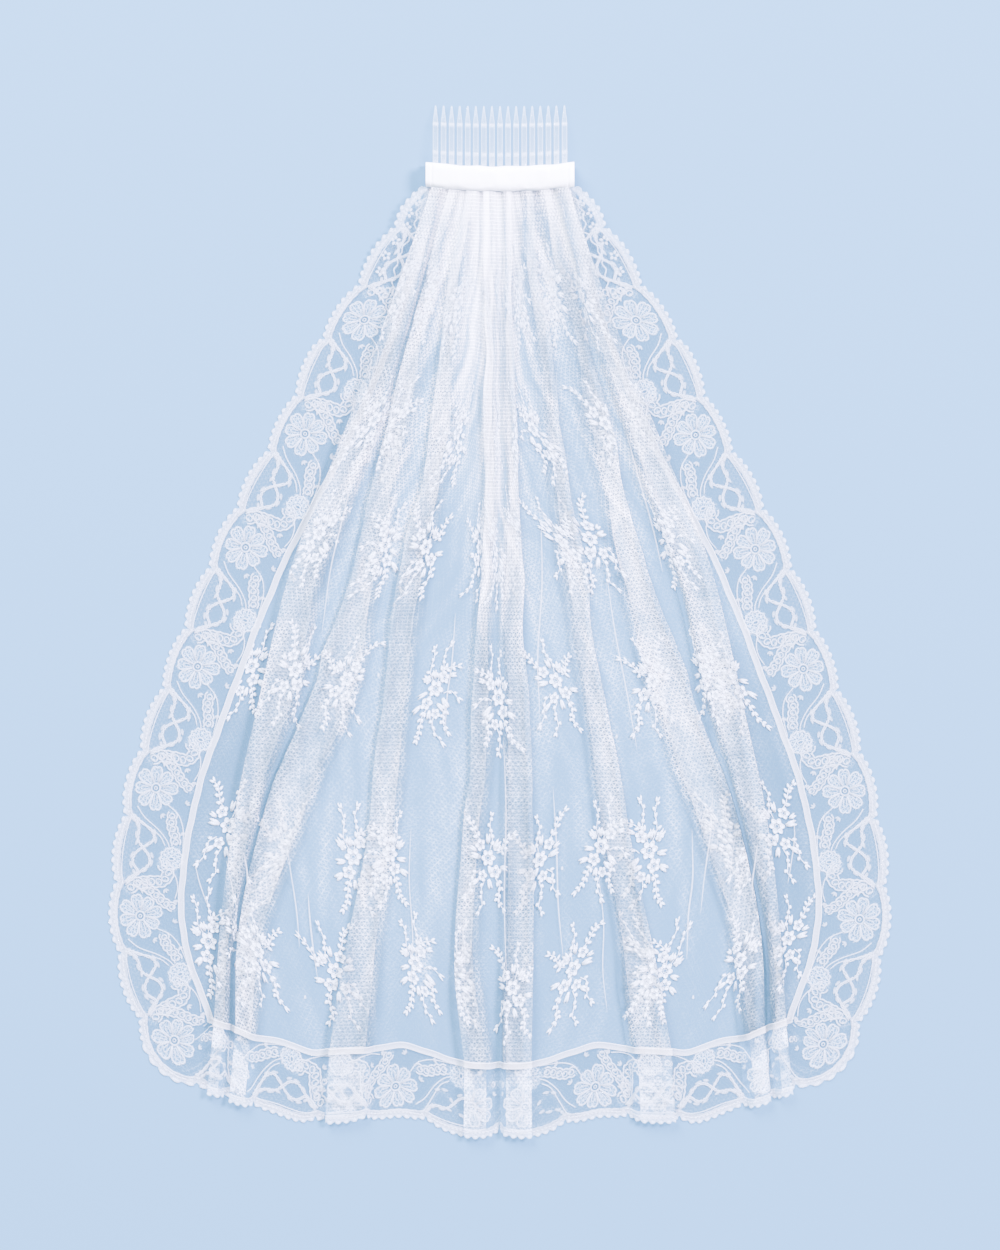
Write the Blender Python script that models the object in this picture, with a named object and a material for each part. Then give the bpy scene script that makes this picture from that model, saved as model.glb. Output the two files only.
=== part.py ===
# A short bridal veil laid flat: a clear comb, a padded header band, a pleated net panel,
# a narrow tape over the seam and a scalloped lace edging round three sides.
# Metres, +Z up. The comb points along +Y and the hem along -Y, and the veil lies on Z = 0.
from collections import namedtuple

import bmesh
import bpy
import numpy as np

MM = 0.001

# Cloth: every wall is one thickness, and pieces keep a small clearance at their seams.
WALL = 1.0 * MM
SEAM = 0.3 * MM
TAPE_WIDTH = 3.5 * MM
TAPE_MIDDLE = WALL / 2 + SEAM + WALL / 2
# A pleat is three layers. The lower two have room for the tape that is folded in between them.
FOLD_ROOM = 1.4 * MM
TAPED_FOLD_ROOM = 3.9 * MM
# That room opens over this stretch of the way down.
TAPED_FROM = 0.86
TAPED_WITHIN = 0.08
BACK_ROOM = 1.4 * MM
RAMP = 5.0 * MM

# Lengths down the middle, measured from the centre of the veil's box.
HEADER_Y = 254.0 * MM
HEADER_BOW = 3.0 * MM
HEADER_HALF = 43.0 * MM
HEADER_LIFT = 5.0 * MM
LIFT_ENDS_Y = 190.0 * MM

# Gathers fan out from the header and die away down the net.
GATHERS = 7
GATHER_HEIGHT = 1.0 * MM
GATHERS_END_Y = 20.0 * MM
# They stop short of the border, over this share of the half width.
GATHERS_STOP = 0.25

# Fractions of the way from the header (0) to the hem (1), where the tables below give their widths.
LEVELS = np.array((0.0, 0.15, 0.3, 0.45, 0.6, 0.75, 0.9, 1.0))
BORDER = (41.0, 58.4, 88.2, 126.1, 155.3, 179.3, 184.5, 169.0)

# A knife pleat: how far its visible edge lies from the middle line and how deep it is folded under,
# in mm at each level, the room between its lower layers, and the columns on the run before it.
Pleat = namedtuple("Pleat", "edge depth taped run")
LEFT_PLEATS = (
    Pleat(
        edge=(39.0, 64.8, 91.7, 120.3, 138.1, 153.6, 163.0, 166.0),
        depth=(2.0, 9.0, 13.0, 14.0, 16.0, 8.0, 2.5, 3.0),
        taped=True,
        run=3,
    ),
    Pleat(
        edge=(29.0, 49.1, 67.5, 86.4, 110.4, 138.0, 152.6, 153.5),
        depth=(2.5, 6.0, 11.0, 13.0, 22.0, 20.0, 10.0, 6.0),
        taped=False,
        run=3,
    ),
    Pleat(
        edge=(19.0, 31.0, 42.0, 57.2, 68.3, 76.5, 91.1, 98.7),
        depth=(2.5, 5.0, 8.0, 11.0, 12.0, 12.5, 16.0, 18.0),
        taped=False,
        run=7,
    ),
    Pleat(
        edge=(9.0, 8.5, 9.0, 11.0, 15.0, 22.0, 25.5, 20.0),
        depth=(2.0, 3.0, 4.0, 5.0, 7.0, 8.0, 9.0, 10.0),
        taped=False,
        run=8,
    ),
)
RIGHT_PLEATS = (
    Pleat(
        edge=(39.0, 64.0, 92.5, 121.5, 139.0, 154.5, 163.0, 166.0),
        depth=(2.0, 8.5, 13.0, 15.0, 15.0, 9.0, 2.5, 3.0),
        taped=True,
        run=3,
    ),
    Pleat(
        edge=(28.5, 46.5, 66.0, 86.5, 111.0, 138.0, 152.0, 153.5),
        depth=(2.5, 6.0, 10.0, 14.0, 20.0, 21.0, 11.0, 6.0),
        taped=False,
        run=3,
    ),
    Pleat(
        edge=(18.5, 26.0, 37.0, 50.0, 62.5, 75.0, 90.5, 99.3),
        depth=(2.5, 5.0, 7.0, 10.0, 12.0, 13.0, 16.0, 17.0),
        taped=False,
        run=7,
    ),
    Pleat(
        edge=(6.0, 6.5, 9.0, 13.0, 16.0, 18.5, 18.5, 17.5),
        depth=(2.0, 2.5, 4.0, 7.0, 11.0, 13.0, 13.0, 12.0),
        taped=False,
        run=8,
    ),
)
# The innermost runs of both halves end this far from the middle line, and meet in a short run.
MIDDLE_CLEAR = 0.3 * MM
MIDDLE_RUN = 1

# The hem line: distance from the middle line and Y, in mm.
HEM_LINE = np.array(
    (
        (0.0, -257.5), (17.5, -257.5), (29.0, -254.9), (42.6, -250.2), (56.6, -246.0), (74.0, -248.5),
        (99.0, -249.5), (108.0, -250.5), (128.5, -244.0), (144.0, -241.0), (156.0, -236.0), (169.0, -231.6),
    )
) * MM
ROWS = (0.0, 0.03, 0.07, 0.12, 0.18, 0.26, 0.35, 0.45, 0.55, 0.65, 0.74, 0.82, 0.88, 0.94, 0.98, 1.0)

# Lace edging: its width grows from the header to the full width, less the notches between scallops.
LACE_WIDTH = 42.0 * MM
LACE_START_WIDTH = 16.0 * MM
LACE_FULL_AT = 0.22
NOTCH = 5.0 * MM
SCALLOP = 36.0 * MM
LACE_STEP = 9.0 * MM
LACE_FLARE = 0.1
CORNER_STEPS = 5
LACE_ACROSS = 3

# Comb: a flat clear moulding whose teeth bend down to the surface.
TEETH = 17
TOOTH_PITCH = 4.7 * MM
TOOTH_WIDTH = 3.4 * MM
TOOTH_TIP_WIDTH = 1.2 * MM
SPINE_BACK_Y = 258.0 * MM
SPINE_FRONT_Y = 266.0 * MM
TIP_Y = 302.5 * MM
SPINE_THICKNESS = 2.6 * MM
TIP_THICKNESS = 1.0 * MM
COMB_HEIGHT = 6.0 * MM
COMB_ARCH = 3.0 * MM
TOOTH_STEPS = 6

# Header band: folded ribbon, padded, with a slot for the comb's spine.
BAND_BACK_Y = 254.4 * MM
BAND_FRONT_Y = 268.8 * MM
BAND_HEIGHT = 11.0 * MM
BAND_HALF = 43.2 * MM
BAND_STATIONS = 24
BAND_ROUND = 14
PUCKERS = 9
PUCKER = 0.03


def smooth_step(t):
    t = np.clip(t, 0.0, 1.0)
    return t * t * (3.0 - 2.0 * t)


def at_level(values, v):
    # A smooth curve through the table's values, as a cubic between each two levels.
    values = np.asarray(values, float) * MM
    slopes = np.gradient(values, LEVELS)
    i = int(np.clip(np.searchsorted(LEVELS, v) - 1, 0, len(LEVELS) - 2))
    span = LEVELS[i + 1] - LEVELS[i]
    t = (v - LEVELS[i]) / span
    return (
        (1 + 2 * t) * (1 - t) ** 2 * values[i]
        + t * (1 - t) ** 2 * span * slopes[i]
        + t * t * (3 - 2 * t) * values[i + 1]
        + t * t * (t - 1) * span * slopes[i + 1]
    )


def arch(x):
    # The comb and band rise towards the middle, as 1 - (x / half width) squared.
    return np.clip(1.0 - (x / HEADER_HALF) ** 2, 0.0, 1.0)


def relief(x, y):
    # Height added to every layer at a place: the lift at the header, and the gathers.
    near = smooth_step((y - LIFT_ENDS_Y) / (HEADER_Y - LIFT_ENDS_Y))
    lift = (HEADER_LIFT + COMB_ARCH * arch(x)) * near
    down = np.clip((HEADER_Y - y) / (HEADER_Y - HEM_LINE[-1, 1]), 0.0, 1.0)
    width = 2 * MM * np.interp(down, LEVELS, BORDER)
    fade = smooth_step((y - GATHERS_END_Y) / (HEADER_Y - GATHERS_END_Y))
    inside = smooth_step((1.0 - 2 * np.abs(x) / width) / GATHERS_STOP)
    waves = 0.5 - 0.5 * np.cos(2 * np.pi * GATHERS * x / width)
    return lift + GATHER_HEIGHT * fade * inside * waves


def turn(middle, height, radius, inward):
    # Half a circle of cloth in section. Each point is (out, z, normal out, normal z).
    points = []
    for angle in (0.0, np.pi / 2, np.pi):
        side, drop = np.sin(angle), -np.cos(angle)
        if inward:
            points.append((middle - radius * side, height + radius * drop, side, -drop))
        else:
            points.append((middle + radius * side, height + radius * drop, side, drop))
    return points


def half_section(v, pleats):
    # One half of the net's section from its border to past the innermost pleat, out from the middle line.
    floor = WALL / 2
    points = [(at_level(BORDER, v), floor, 0.0, 1.0)]
    for k, pleat in enumerate(pleats):
        edge = at_level(pleat.edge, v)
        crease = edge - at_level(pleat.depth, v)
        start = points[-1][0]
        for i in range(1, pleat.run):
            points.append((start + (crease - start) * i / pleat.run, floor, 0.0, 1.0))
        near_hem = smooth_step((v - TAPED_FROM) / TAPED_WITHIN)
        hem_room = FOLD_ROOM + (TAPED_FOLD_ROOM - FOLD_ROOM) * near_hem
        room = TAPED_FOLD_ROOM if pleat.taped else hem_room
        points += turn(crease, floor + room / 2, room / 2, True)
        points += turn(edge, floor + room + BACK_ROOM / 2, BACK_ROOM / 2, False)
        top = floor + room + BACK_ROOM
        clear = crease - room / 2 - WALL
        reach = BACK_ROOM / 2 + WALL / 2 + SEAM + near_hem * TAPE_MIDDLE
        following = at_level(pleats[k + 1].edge, v) + reach if k + 1 < len(pleats) else MIDDLE_CLEAR
        ramp = min(RAMP, 0.9 * (clear - following))
        points.append((clear, top, 0.0, 1.0))
        points.append((clear - ramp, floor, 0.0, 1.0))
    return np.array(points)


def section(v):
    # The whole section, left to right, as arrays of x, z and the normal of the upper face.
    left = half_section(v, LEFT_PLEATS) * (-1, 1, -1, 1)
    right = half_section(v, RIGHT_PLEATS)[::-1]
    share = np.linspace(0, 1, MIDDLE_RUN + 2)[1:-1, None]
    middle = left[-1] + (right[0] - left[-1]) * share
    return np.concatenate([left, middle, right])


def net_points(v, offset):
    # Points of one row of the net, moved out along the upper face's normal by offset.
    row, first, last = section(v), section(0.0), section(1.0)
    head_y = HEADER_Y - HEADER_BOW * arch(first[:, 0])
    hem_y = np.interp(np.abs(last[:, 0]), HEM_LINE[:, 0], HEM_LINE[:, 1])
    x = row[:, 0] + offset * row[:, 2]
    y = head_y + (hem_y - head_y) * v
    z = row[:, 1] + offset * row[:, 3]
    return np.stack([x, y, z + relief(x, y)], axis=-1)


def side_frames(side):
    # Along one side from header to corner: base points on the net's own border, and outward directions.
    index = 0 if side < 0 else -1
    rows = np.array([net_points(v, 0.0)[index] for v in ROWS])
    bases, ways, along = [], [], []
    for k in range(len(ROWS) - 1):
        length = np.linalg.norm(rows[k + 1] - rows[k])
        steps = max(1, round(length / LACE_STEP))
        for i in range(steps):
            v = ROWS[k] + (ROWS[k + 1] - ROWS[k]) * i / steps
            before = net_points(max(v - 0.01, 0.0), 0.0)[index]
            after = net_points(min(v + 0.01, 1.0), 0.0)[index]
            run = (after - before)[:2]
            way = np.array((side * -run[1], side * run[0])) / np.linalg.norm(run)
            bases.append(rows[k] + (rows[k + 1] - rows[k]) * i / steps)
            ways.append(way)
            along.append(v)
    return np.array(bases), np.array(ways), np.array(along)


def hem_frames():
    # Along the hem the strip goes on from the net's last row, flaring a little to both sides.
    bases = net_points(1.0, 0.0)
    flare = LACE_FLARE * bases[:, 0] / bases[-1, 0]
    ways = np.stack([flare, -np.ones(len(flare))], axis=-1)
    return bases, ways / np.linalg.norm(ways, axis=1, keepdims=True)


def corner_ways(first, last):
    # Directions that fan round a corner from one way to another.
    start, end = np.arctan2(first[1], first[0]), np.arctan2(last[1], last[0])
    swing = (end - start + np.pi) % (2 * np.pi) - np.pi
    angles = start + swing * np.linspace(0, 1, CORNER_STEPS + 1)[:-1]
    return np.stack([np.cos(angles), np.sin(angles)], axis=-1)


def strip_frames():
    # Every column of the edging: base point, outward direction, the cloth's normal and the width's share.
    left, left_ways, left_along = side_frames(-1)
    right, right_ways, right_along = side_frames(1)
    hem, hem_ways = hem_frames()
    bend_left = corner_ways(left_ways[-1], hem_ways[0])
    bend_right = corner_ways(right_ways[-1], hem_ways[-1])
    up = np.array((0.0, 0.0, 1.0))
    flat = section(1.0)
    hem_normals = np.stack([flat[:, 2], np.zeros(len(flat)), flat[:, 3]], axis=-1)
    bases = np.concatenate(
        [left, np.repeat(hem[:1], CORNER_STEPS, 0), hem, np.repeat(hem[-1:], CORNER_STEPS, 0), right[::-1]]
    )
    ways = np.concatenate([left_ways, bend_left, hem_ways, bend_right[::-1], right_ways[::-1]])
    normals = np.concatenate(
        [np.tile(up, (len(left) + CORNER_STEPS, 1)), hem_normals, np.tile(up, (len(right) + CORNER_STEPS, 1))]
    )
    full = np.ones(len(hem) + 2 * CORNER_STEPS)
    along = np.concatenate([left_along / LACE_FULL_AT, full, right_along[::-1] / LACE_FULL_AT])
    return bases, ways, normals, smooth_step(along)


def strip_points(bases, ways, normals, reach, offset):
    # Points of the edging reach out from the base, on the cloth's own layer.
    x = bases[:, 0] + ways[:, 0] * reach + offset * normals[:, 0]
    y = bases[:, 1] + ways[:, 1] * reach
    z = bases[:, 2] - relief(bases[:, 0], bases[:, 1]) + offset * normals[:, 2]
    return np.stack([x, y, z + relief(x, y)], axis=-1)


def lace_reach(bases, ways, share):
    # Scallops along the outer line: the arch is a half sine, raised to round it and sharpen the notches.
    outer = bases[:, :2] + ways * (LACE_START_WIDTH + (LACE_WIDTH - LACE_START_WIDTH) * share)[:, None]
    steps = np.linalg.norm(np.diff(outer, axis=0), axis=1)
    along = np.concatenate([[0.0], np.cumsum(steps)])
    hump = np.abs(np.sin(np.pi * along / SCALLOP)) ** 0.6
    return LACE_START_WIDTH + (LACE_WIDTH - LACE_START_WIDTH) * share - NOTCH * (1.0 - hump)


def material(name, colour, roughness, alpha=1.0):
    made = bpy.data.materials.new(name)
    made.use_nodes = True
    shader = made.node_tree.nodes["Principled BSDF"]
    shader.inputs["Base Color"].default_value = (*colour, 1.0)
    shader.inputs["Roughness"].default_value = roughness
    shader.inputs["Metallic"].default_value = 0.0
    shader.inputs["Alpha"].default_value = alpha
    return made


def add_object(name, points, faces, surface):
    mesh = bpy.data.meshes.new(name)
    mesh.from_pydata([tuple(p) for p in points], [], faces)
    shape = bmesh.new()
    shape.from_mesh(mesh)
    loose = [p for p in shape.verts if not p.link_faces]
    bmesh.ops.delete(shape, geom=loose, context="VERTS")
    bmesh.ops.recalc_face_normals(shape, faces=shape.faces)
    shape.to_mesh(mesh)
    shape.free()
    mesh.materials.append(surface)
    mesh.shade_smooth()
    mesh.set_sharp_from_angle(angle=np.radians(50))
    made = bpy.data.objects.new(name, mesh)
    bpy.context.collection.objects.link(made)
    return made


def plate(name, upper, lower, surface, kept=None):
    # A closed wall between two grids of points, of the kept cells only.
    rows, columns = upper.shape[:2]
    kept = np.ones((rows - 1, columns - 1), bool) if kept is None else kept
    count = rows * columns
    index = np.arange(count).reshape(rows, columns)
    faces = []
    for i, j in zip(*np.nonzero(kept)):
        ring = [int(p) for p in (index[i, j], index[i, j + 1], index[i + 1, j + 1], index[i + 1, j])]
        # Both sides are split along the same diagonal, so a twisted cell keeps its thickness.
        for corners in ((0, 1, 2), (0, 2, 3)):
            faces.append([ring[k] for k in corners])
            faces.append([ring[k] + count for k in reversed(corners)])
        beside = ((i - 1, j), (i, j + 1), (i + 1, j), (i, j - 1))
        for k, (m, n) in enumerate(beside):
            inside = 0 <= m < rows - 1 and 0 <= n < columns - 1 and kept[m, n]
            if not inside:
                a, b = ring[k], ring[(k + 1) % 4]
                faces.append((b, a, a + count, b + count))
    points = np.concatenate([upper.reshape(-1, 3), lower.reshape(-1, 3)])
    return add_object(name, points, faces, surface)


def make_net():
    upper = np.array([net_points(v, WALL / 2) for v in ROWS])
    lower = np.array([net_points(v, -WALL / 2) for v in ROWS])
    return plate("net_panel", upper, lower, material("white_net", (0.9, 0.91, 0.92), 0.7, 0.6))


def make_lace():
    bases, ways, normals, share = strip_frames()
    outer = lace_reach(bases, ways, share)
    shares = np.linspace(0, 1, LACE_ACROSS)
    reaches = [SEAM + (outer - SEAM) * s for s in shares]
    upper = np.array([strip_points(bases, ways, normals, r, WALL / 2) for r in reaches])
    lower = np.array([strip_points(bases, ways, normals, r, -WALL / 2) for r in reaches])
    return plate("lace_edging", upper, lower, material("white_lace", (0.93, 0.93, 0.92), 0.75, 0.85))


def make_tape():
    # The tape lies over the seam: half on the net, half on the lace, mitred at the corners.
    half = TAPE_WIDTH / 2
    left, left_ways, _ = side_frames(-1)
    right, right_ways, _ = side_frames(1)
    hem, hem_ways = hem_frames()
    flat = section(1.0)
    up = np.array((0.0, 0.0, 1.0))
    hem_normals = np.stack([flat[:, 2], np.zeros(len(flat)), flat[:, 3]], axis=-1)
    inner_v = 1.0 - half / (HEADER_Y - HEM_LINE[0, 1])

    def side_rows(bases, ways, offset):
        keep = bases[:, 1] > hem[0, 1] + 2 * half
        bases, ways = bases[keep], ways[keep]
        normals = np.tile(up, (len(bases), 1))
        return [strip_points(bases, ways, normals, r, offset) for r in (-half, 0.0, half)]

    def corner(base, way, hem_way, offset):
        spread = (way + hem_way) / (1.0 + way @ hem_way)
        return [strip_points(base[None], spread[None], up[None], r, offset) for r in (-half, 0.0, half)]

    faces = []
    for offset in (TAPE_MIDDLE + WALL / 2, TAPE_MIDDLE - WALL / 2):
        hem_rows = [
            net_points(inner_v, offset)[1:-1],
            strip_points(hem, hem_ways, hem_normals, 0.0, offset)[1:-1],
            strip_points(hem, hem_ways, hem_normals, half, offset)[1:-1],
        ]
        parts = (
            side_rows(left, left_ways, offset),
            corner(hem[0], left_ways[-1], hem_ways[0], offset),
            hem_rows,
            corner(hem[-1], right_ways[-1], hem_ways[-1], offset),
            [row[::-1] for row in side_rows(right, right_ways, offset)],
        )
        faces.append(np.array([np.concatenate([part[k] for part in parts]) for k in range(3)]))
    return plate("edge_tape", faces[0], faces[1], material("white_tape", (0.95, 0.95, 0.94), 0.5))


def make_comb():
    # Rows run from the back of the spine to the tips, columns along the comb: tooth, gap, tooth.
    down = np.concatenate([[0.0], np.linspace(0, 1, TOOTH_STEPS + 1)])
    kept = np.zeros((len(down) - 1, 2 * TEETH - 1), bool)
    kept[0] = True
    kept[:, ::2] = True
    upper, lower = [], []
    for i, t in enumerate(down):
        back = i == 0
        base_y = SPINE_BACK_Y if back else SPINE_FRONT_Y + (TIP_Y - SPINE_FRONT_Y) * t
        half = TOOTH_WIDTH / 2 + (TOOTH_TIP_WIDTH - TOOTH_WIDTH) / 2 * max(0.0, (t - 0.6) / 0.4)
        thick = SPINE_THICKNESS + (TIP_THICKNESS - SPINE_THICKNESS) * t
        droop = COMB_HEIGHT - (COMB_HEIGHT - TIP_THICKNESS / 2) * t ** 2.2
        row = []
        for tooth in range(TEETH):
            middle = (tooth - (TEETH - 1) / 2) * TOOTH_PITCH
            row += [middle - half, middle + half]
        x = np.array(row)
        y = base_y - HEADER_BOW * arch(x) * (1.0 - 0.7 * t)
        z = droop + COMB_ARCH * arch(x)
        upper.append(np.stack([x, y, z + thick / 2], axis=-1))
        lower.append(np.stack([x, y, z - thick / 2], axis=-1))
    clear = material("clear_plastic", (0.9, 0.93, 0.95), 0.12, 0.35)
    return plate("comb", np.array(upper), np.array(lower), clear, kept)


def make_band():
    # The section is a rounded box whose front is slotted for the spine, closed into one outline.
    middle = (BAND_FRONT_Y + BAND_BACK_Y) / 2
    depth, height = (BAND_FRONT_Y - BAND_BACK_Y) / 2, BAND_HEIGHT / 2
    slot = SPINE_THICKNESS / 2 + SEAM
    lip = np.arcsin((slot / height) ** 1.5)
    angles = np.linspace(lip, 2 * np.pi - lip, BAND_ROUND)
    outer_y = np.sign(np.cos(angles)) * np.abs(np.cos(angles)) ** 0.6 * depth
    outer_z = np.sign(np.sin(angles)) * np.abs(np.sin(angles)) ** (2 / 3) * height
    slot_back = SPINE_BACK_Y - SEAM - middle
    sections = []
    for x in np.linspace(-BAND_HALF, BAND_HALF, BAND_STATIONS):
        pucker = 1.0 + PUCKER * np.sin(2 * np.pi * PUCKERS * x / (2 * BAND_HALF))
        end = 1.0 - 0.18 * smooth_step((abs(x) - 0.9 * BAND_HALF) / (0.1 * BAND_HALF))
        swell = np.where(np.abs(outer_z) > 2 * slot, pucker * end, 1.0)
        y = np.concatenate([outer_y, [slot_back, slot_back]])
        z = np.concatenate([outer_z * swell, [-slot, slot]])
        place = (middle - HEADER_BOW * arch(x), COMB_HEIGHT + COMB_ARCH * arch(x))
        sections.append(np.stack([np.full(len(y), x), y + place[0], z + place[1]], axis=-1))
    count = len(sections[0])
    faces = [tuple(range(count)), tuple(range((BAND_STATIONS - 1) * count, BAND_STATIONS * count))]
    for s in range(BAND_STATIONS - 1):
        for k in range(count):
            a, b = s * count + k, s * count + (k + 1) % count
            faces.append((a, b, b + count, a + count))
    satin = material("white_satin", (0.94, 0.94, 0.93), 0.35)
    return add_object("header_band", np.concatenate(sections), faces, satin)


def centre_on_origin(made):
    # The origin is the bottom centre of the whole veil's box.
    corners = np.concatenate([np.array([tuple(p.co) for p in o.data.vertices]) for o in made])
    low, high = corners.min(axis=0), corners.max(axis=0)
    shift = np.array(((low[0] + high[0]) / 2, (low[1] + high[1]) / 2, low[2]))
    for o in made:
        for p in o.data.vertices:
            p.co = np.array(p.co) - shift


for old in list(bpy.data.objects):
    bpy.data.objects.remove(old)
centre_on_origin([make_net(), make_lace(), make_tape(), make_comb(), make_band()])
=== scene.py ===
import math

import bmesh
import bpy
import numpy as np
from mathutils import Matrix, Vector


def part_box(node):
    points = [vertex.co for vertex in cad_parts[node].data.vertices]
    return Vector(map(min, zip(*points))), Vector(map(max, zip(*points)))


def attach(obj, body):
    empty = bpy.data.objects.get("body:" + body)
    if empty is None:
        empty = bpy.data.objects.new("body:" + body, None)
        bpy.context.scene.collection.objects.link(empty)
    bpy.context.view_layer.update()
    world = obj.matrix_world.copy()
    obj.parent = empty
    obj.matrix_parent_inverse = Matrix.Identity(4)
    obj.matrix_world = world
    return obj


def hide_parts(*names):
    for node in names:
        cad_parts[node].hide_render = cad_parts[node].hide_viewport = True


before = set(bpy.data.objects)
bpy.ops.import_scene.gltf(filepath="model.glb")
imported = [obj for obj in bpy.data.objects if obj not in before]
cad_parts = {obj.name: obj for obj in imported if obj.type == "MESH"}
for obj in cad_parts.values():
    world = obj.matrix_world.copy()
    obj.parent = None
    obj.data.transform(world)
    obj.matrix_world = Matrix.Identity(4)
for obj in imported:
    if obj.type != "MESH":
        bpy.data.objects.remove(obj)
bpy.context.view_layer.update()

# Lengths in the tables and functions below are millimetres in the veil's own plan: x across, y up
# towards the comb, z up from the surface. Only newPiece turns them into metres.
mm = 0.001

cloth = {
    "levels": np.array((0, 0.15, 0.3, 0.45, 0.6, 0.75, 0.9, 1)),  # shares of the way from header to hem
    "border": (41, 58.4, 88.2, 126.1, 155.3, 179.3, 184.5, 169),  # half width at each level
    "wall": 1,             # the layers keep the room that the solids' walls need
    "foldRoom": 1.4,
    "tapedRoom": 3.9,
    "tapedFrom": 0.86,
    "tapedWithin": 0.08,
    "backRoom": 1.4,
    "ramp": 5,
    "middleClear": 0.3,
    "headerY": 254,
    "headerBow": 3,
    "headerHalf": 43,
    "lift": 5,             # how high the net leaves the band
    "arch": 3,
    "liftEndsY": 190,
    "cutWidth": 560,       # net cut at its widest row
    "length": 510,
    # how the folds waver on their way down: shift, size across and down, and seed
    "waver": ((2.3, 15, 42, 31), (0.8, 5.5, 19, 32)),
    # the drawn-up middle of the head: how much closer, where, its half width at the header and the hem, its end
    "head": (5.2, -4, 9, 31, 0.62),
}
# each pleat: distance of its visible edge from the middle line and its depth at each level,
# whether tape lies in it all the way, and how finely the run before it is divided
leftPleats = (
    {"edge": (39, 64.8, 91.7, 120.3, 138.1, 153.6, 163, 166),
     "depth": (2, 9, 13, 14, 16, 8, 2.5, 3), "taped": True, "run": 8},
    {"edge": (29, 49.1, 67.5, 86.4, 110.4, 138, 152.6, 153.5),
     "depth": (2.5, 6, 11, 13, 22, 20, 10, 6), "taped": False, "run": 12},
    {"edge": (19, 31, 42, 57.2, 68.3, 76.5, 91.1, 98.7),
     "depth": (2.5, 5, 8, 11, 12, 12.5, 16, 18), "taped": False, "run": 24},
    {"edge": (9, 8.5, 9, 11, 15, 22, 25.5, 20),
     "depth": (2, 3, 4, 5, 7, 8, 9, 10), "taped": False, "run": 26},
)
rightPleats = (
    {"edge": (39, 64, 92.5, 121.5, 139, 154.5, 163, 166),
     "depth": (2, 8.5, 13, 15, 15, 9, 2.5, 3), "taped": True, "run": 8},
    {"edge": (28.5, 46.5, 66, 86.5, 111, 138, 152, 153.5),
     "depth": (2.5, 6, 10, 14, 20, 21, 11, 6), "taped": False, "run": 12},
    {"edge": (18.5, 26, 37, 50, 62.5, 75, 90.5, 99.3),
     "depth": (2.5, 5, 7, 10, 12, 13, 16, 17), "taped": False, "run": 24},
    {"edge": (6, 6.5, 9, 13, 16, 18.5, 18.5, 17.5),
     "depth": (2, 2.5, 4, 7, 11, 13, 13, 12), "taped": False, "run": 26},
)
hemLine = np.array((  # distance from the middle line, and y
    (0, -257.5), (17.5, -257.5), (29, -254.9), (42.6, -250.2), (56.6, -246), (74, -248.5),
    (99, -249.5), (108, -250.5), (128.5, -244), (144, -241), (156, -236), (169, -231.6),
))
# soft creases: where each starts and ends, its width and its height (below 0: broad,
# low and without net drawn to it)
creases = np.array((
    (-98, -85, -108, -207, 3, 1.3),
    (-118, -130, -112, -190, 2.5, 1),
    (-44, 40, -58, -150, 5, -0.5),
    (-38, -60, -46, -240, 4, 0.7),
    (26, -45, 22, -205, 2.5, 1.1),
    (34, -90, 40, -215, 3, 0.9),
    (2, -62, 4, -250, 1.8, 0.8),
    (98, -80, 110, -210, 3, 1.3),
    (118, -128, 113, -192, 2.5, 1),
    (60, 50, 84, -110, 4, 0.6),
    (-70, 60, -92, -60, 4, 0.6),
    (44, -100, 62, -238, 4, 0.6),
    (-164, -55, -176, -150, 2.5, 0.5),
    (166, -50, 175, -160, 2.5, 0.5),
    (-142, -150, -130, -226, 3, 0.7),
    (140, -160, 128, -224, 3, 0.7),
    (-13, 96, -27, -150, 4.6, 1.2),
    (13, 70, 27, -120, 4, 0.9),
    (-58, 90, -79, -90, 4.4, 0.9),
    (52, 84, 71, -60, 4.4, 0.9),
))

bunching = {  # how many times closer the net is drawn up than its layers show, from header to hem
    "v": (0, 0.04, 0.1, 0.2, 0.3, 0.42, 0.55, 0.7, 1),
    "times": (13, 6.2, 4.5, 3.9, 3.4, 2.5, 1.7, 1.1, 0.65),
    "pleats": (1, 1, 1, 1.15, 1.7, 2.9, 4.6, 5.8, 6.4),                    # times more in the pleats
    "between": (2.6, 2.4, 2, 1.5, 1.15, 0.95, 0.9, 0.9, 0.9),              # and between them
    "streaks": (0.4, 0.5, 0.6, 0.7, 0.75, 0.75, 0.7, 0.6, 0.45),
    "cover": 0.0158,         # how much one layer hides of what lies under it
    "stops": (0.25, 0.25, 0.22, 0.18, 0.14, 0.1, 0.07, 0.06, 0.06),        # light stopped where it is bunched
    "single": (0.36, 0.36, 0.36, 0.32, 0.24, 0.16, 0.15, 0.18, 0.19),      # how much more where it lies single
    "tapedSide": 0.3,        # low on the veil, between the tape and the first pleat
    "edges": 0.6,            # where it turns on edge
    "folds": (0, 0.1, 0.2, 0.4, 0.6, 0.72, 0.78, 0.78, 0.75),              # along both edges of each pleat
    "foldWidth": 3.4,
}
gathers = (  # fine gathers: how many across the cloth, phase and weight
    (13, 1.1, 0.16), (23, 0.3, 0.26), (37, 1.9, 0.24), (59, 4.1, 0.20), (97, 2.2, 0.14),
)
crumples = (  # soft clouds: size across and down the cut net, and strength
    (58, 105, 0.3), (25, 64, 0.42), (11, 34, 0.36), (4.6, 46, 0.42), (4.2, 6.5, 0.3),
)


def smoothStep(t):
    t = np.clip(t, 0.0, 1.0)
    return t * t * (3.0 - 2.0 * t)


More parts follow.
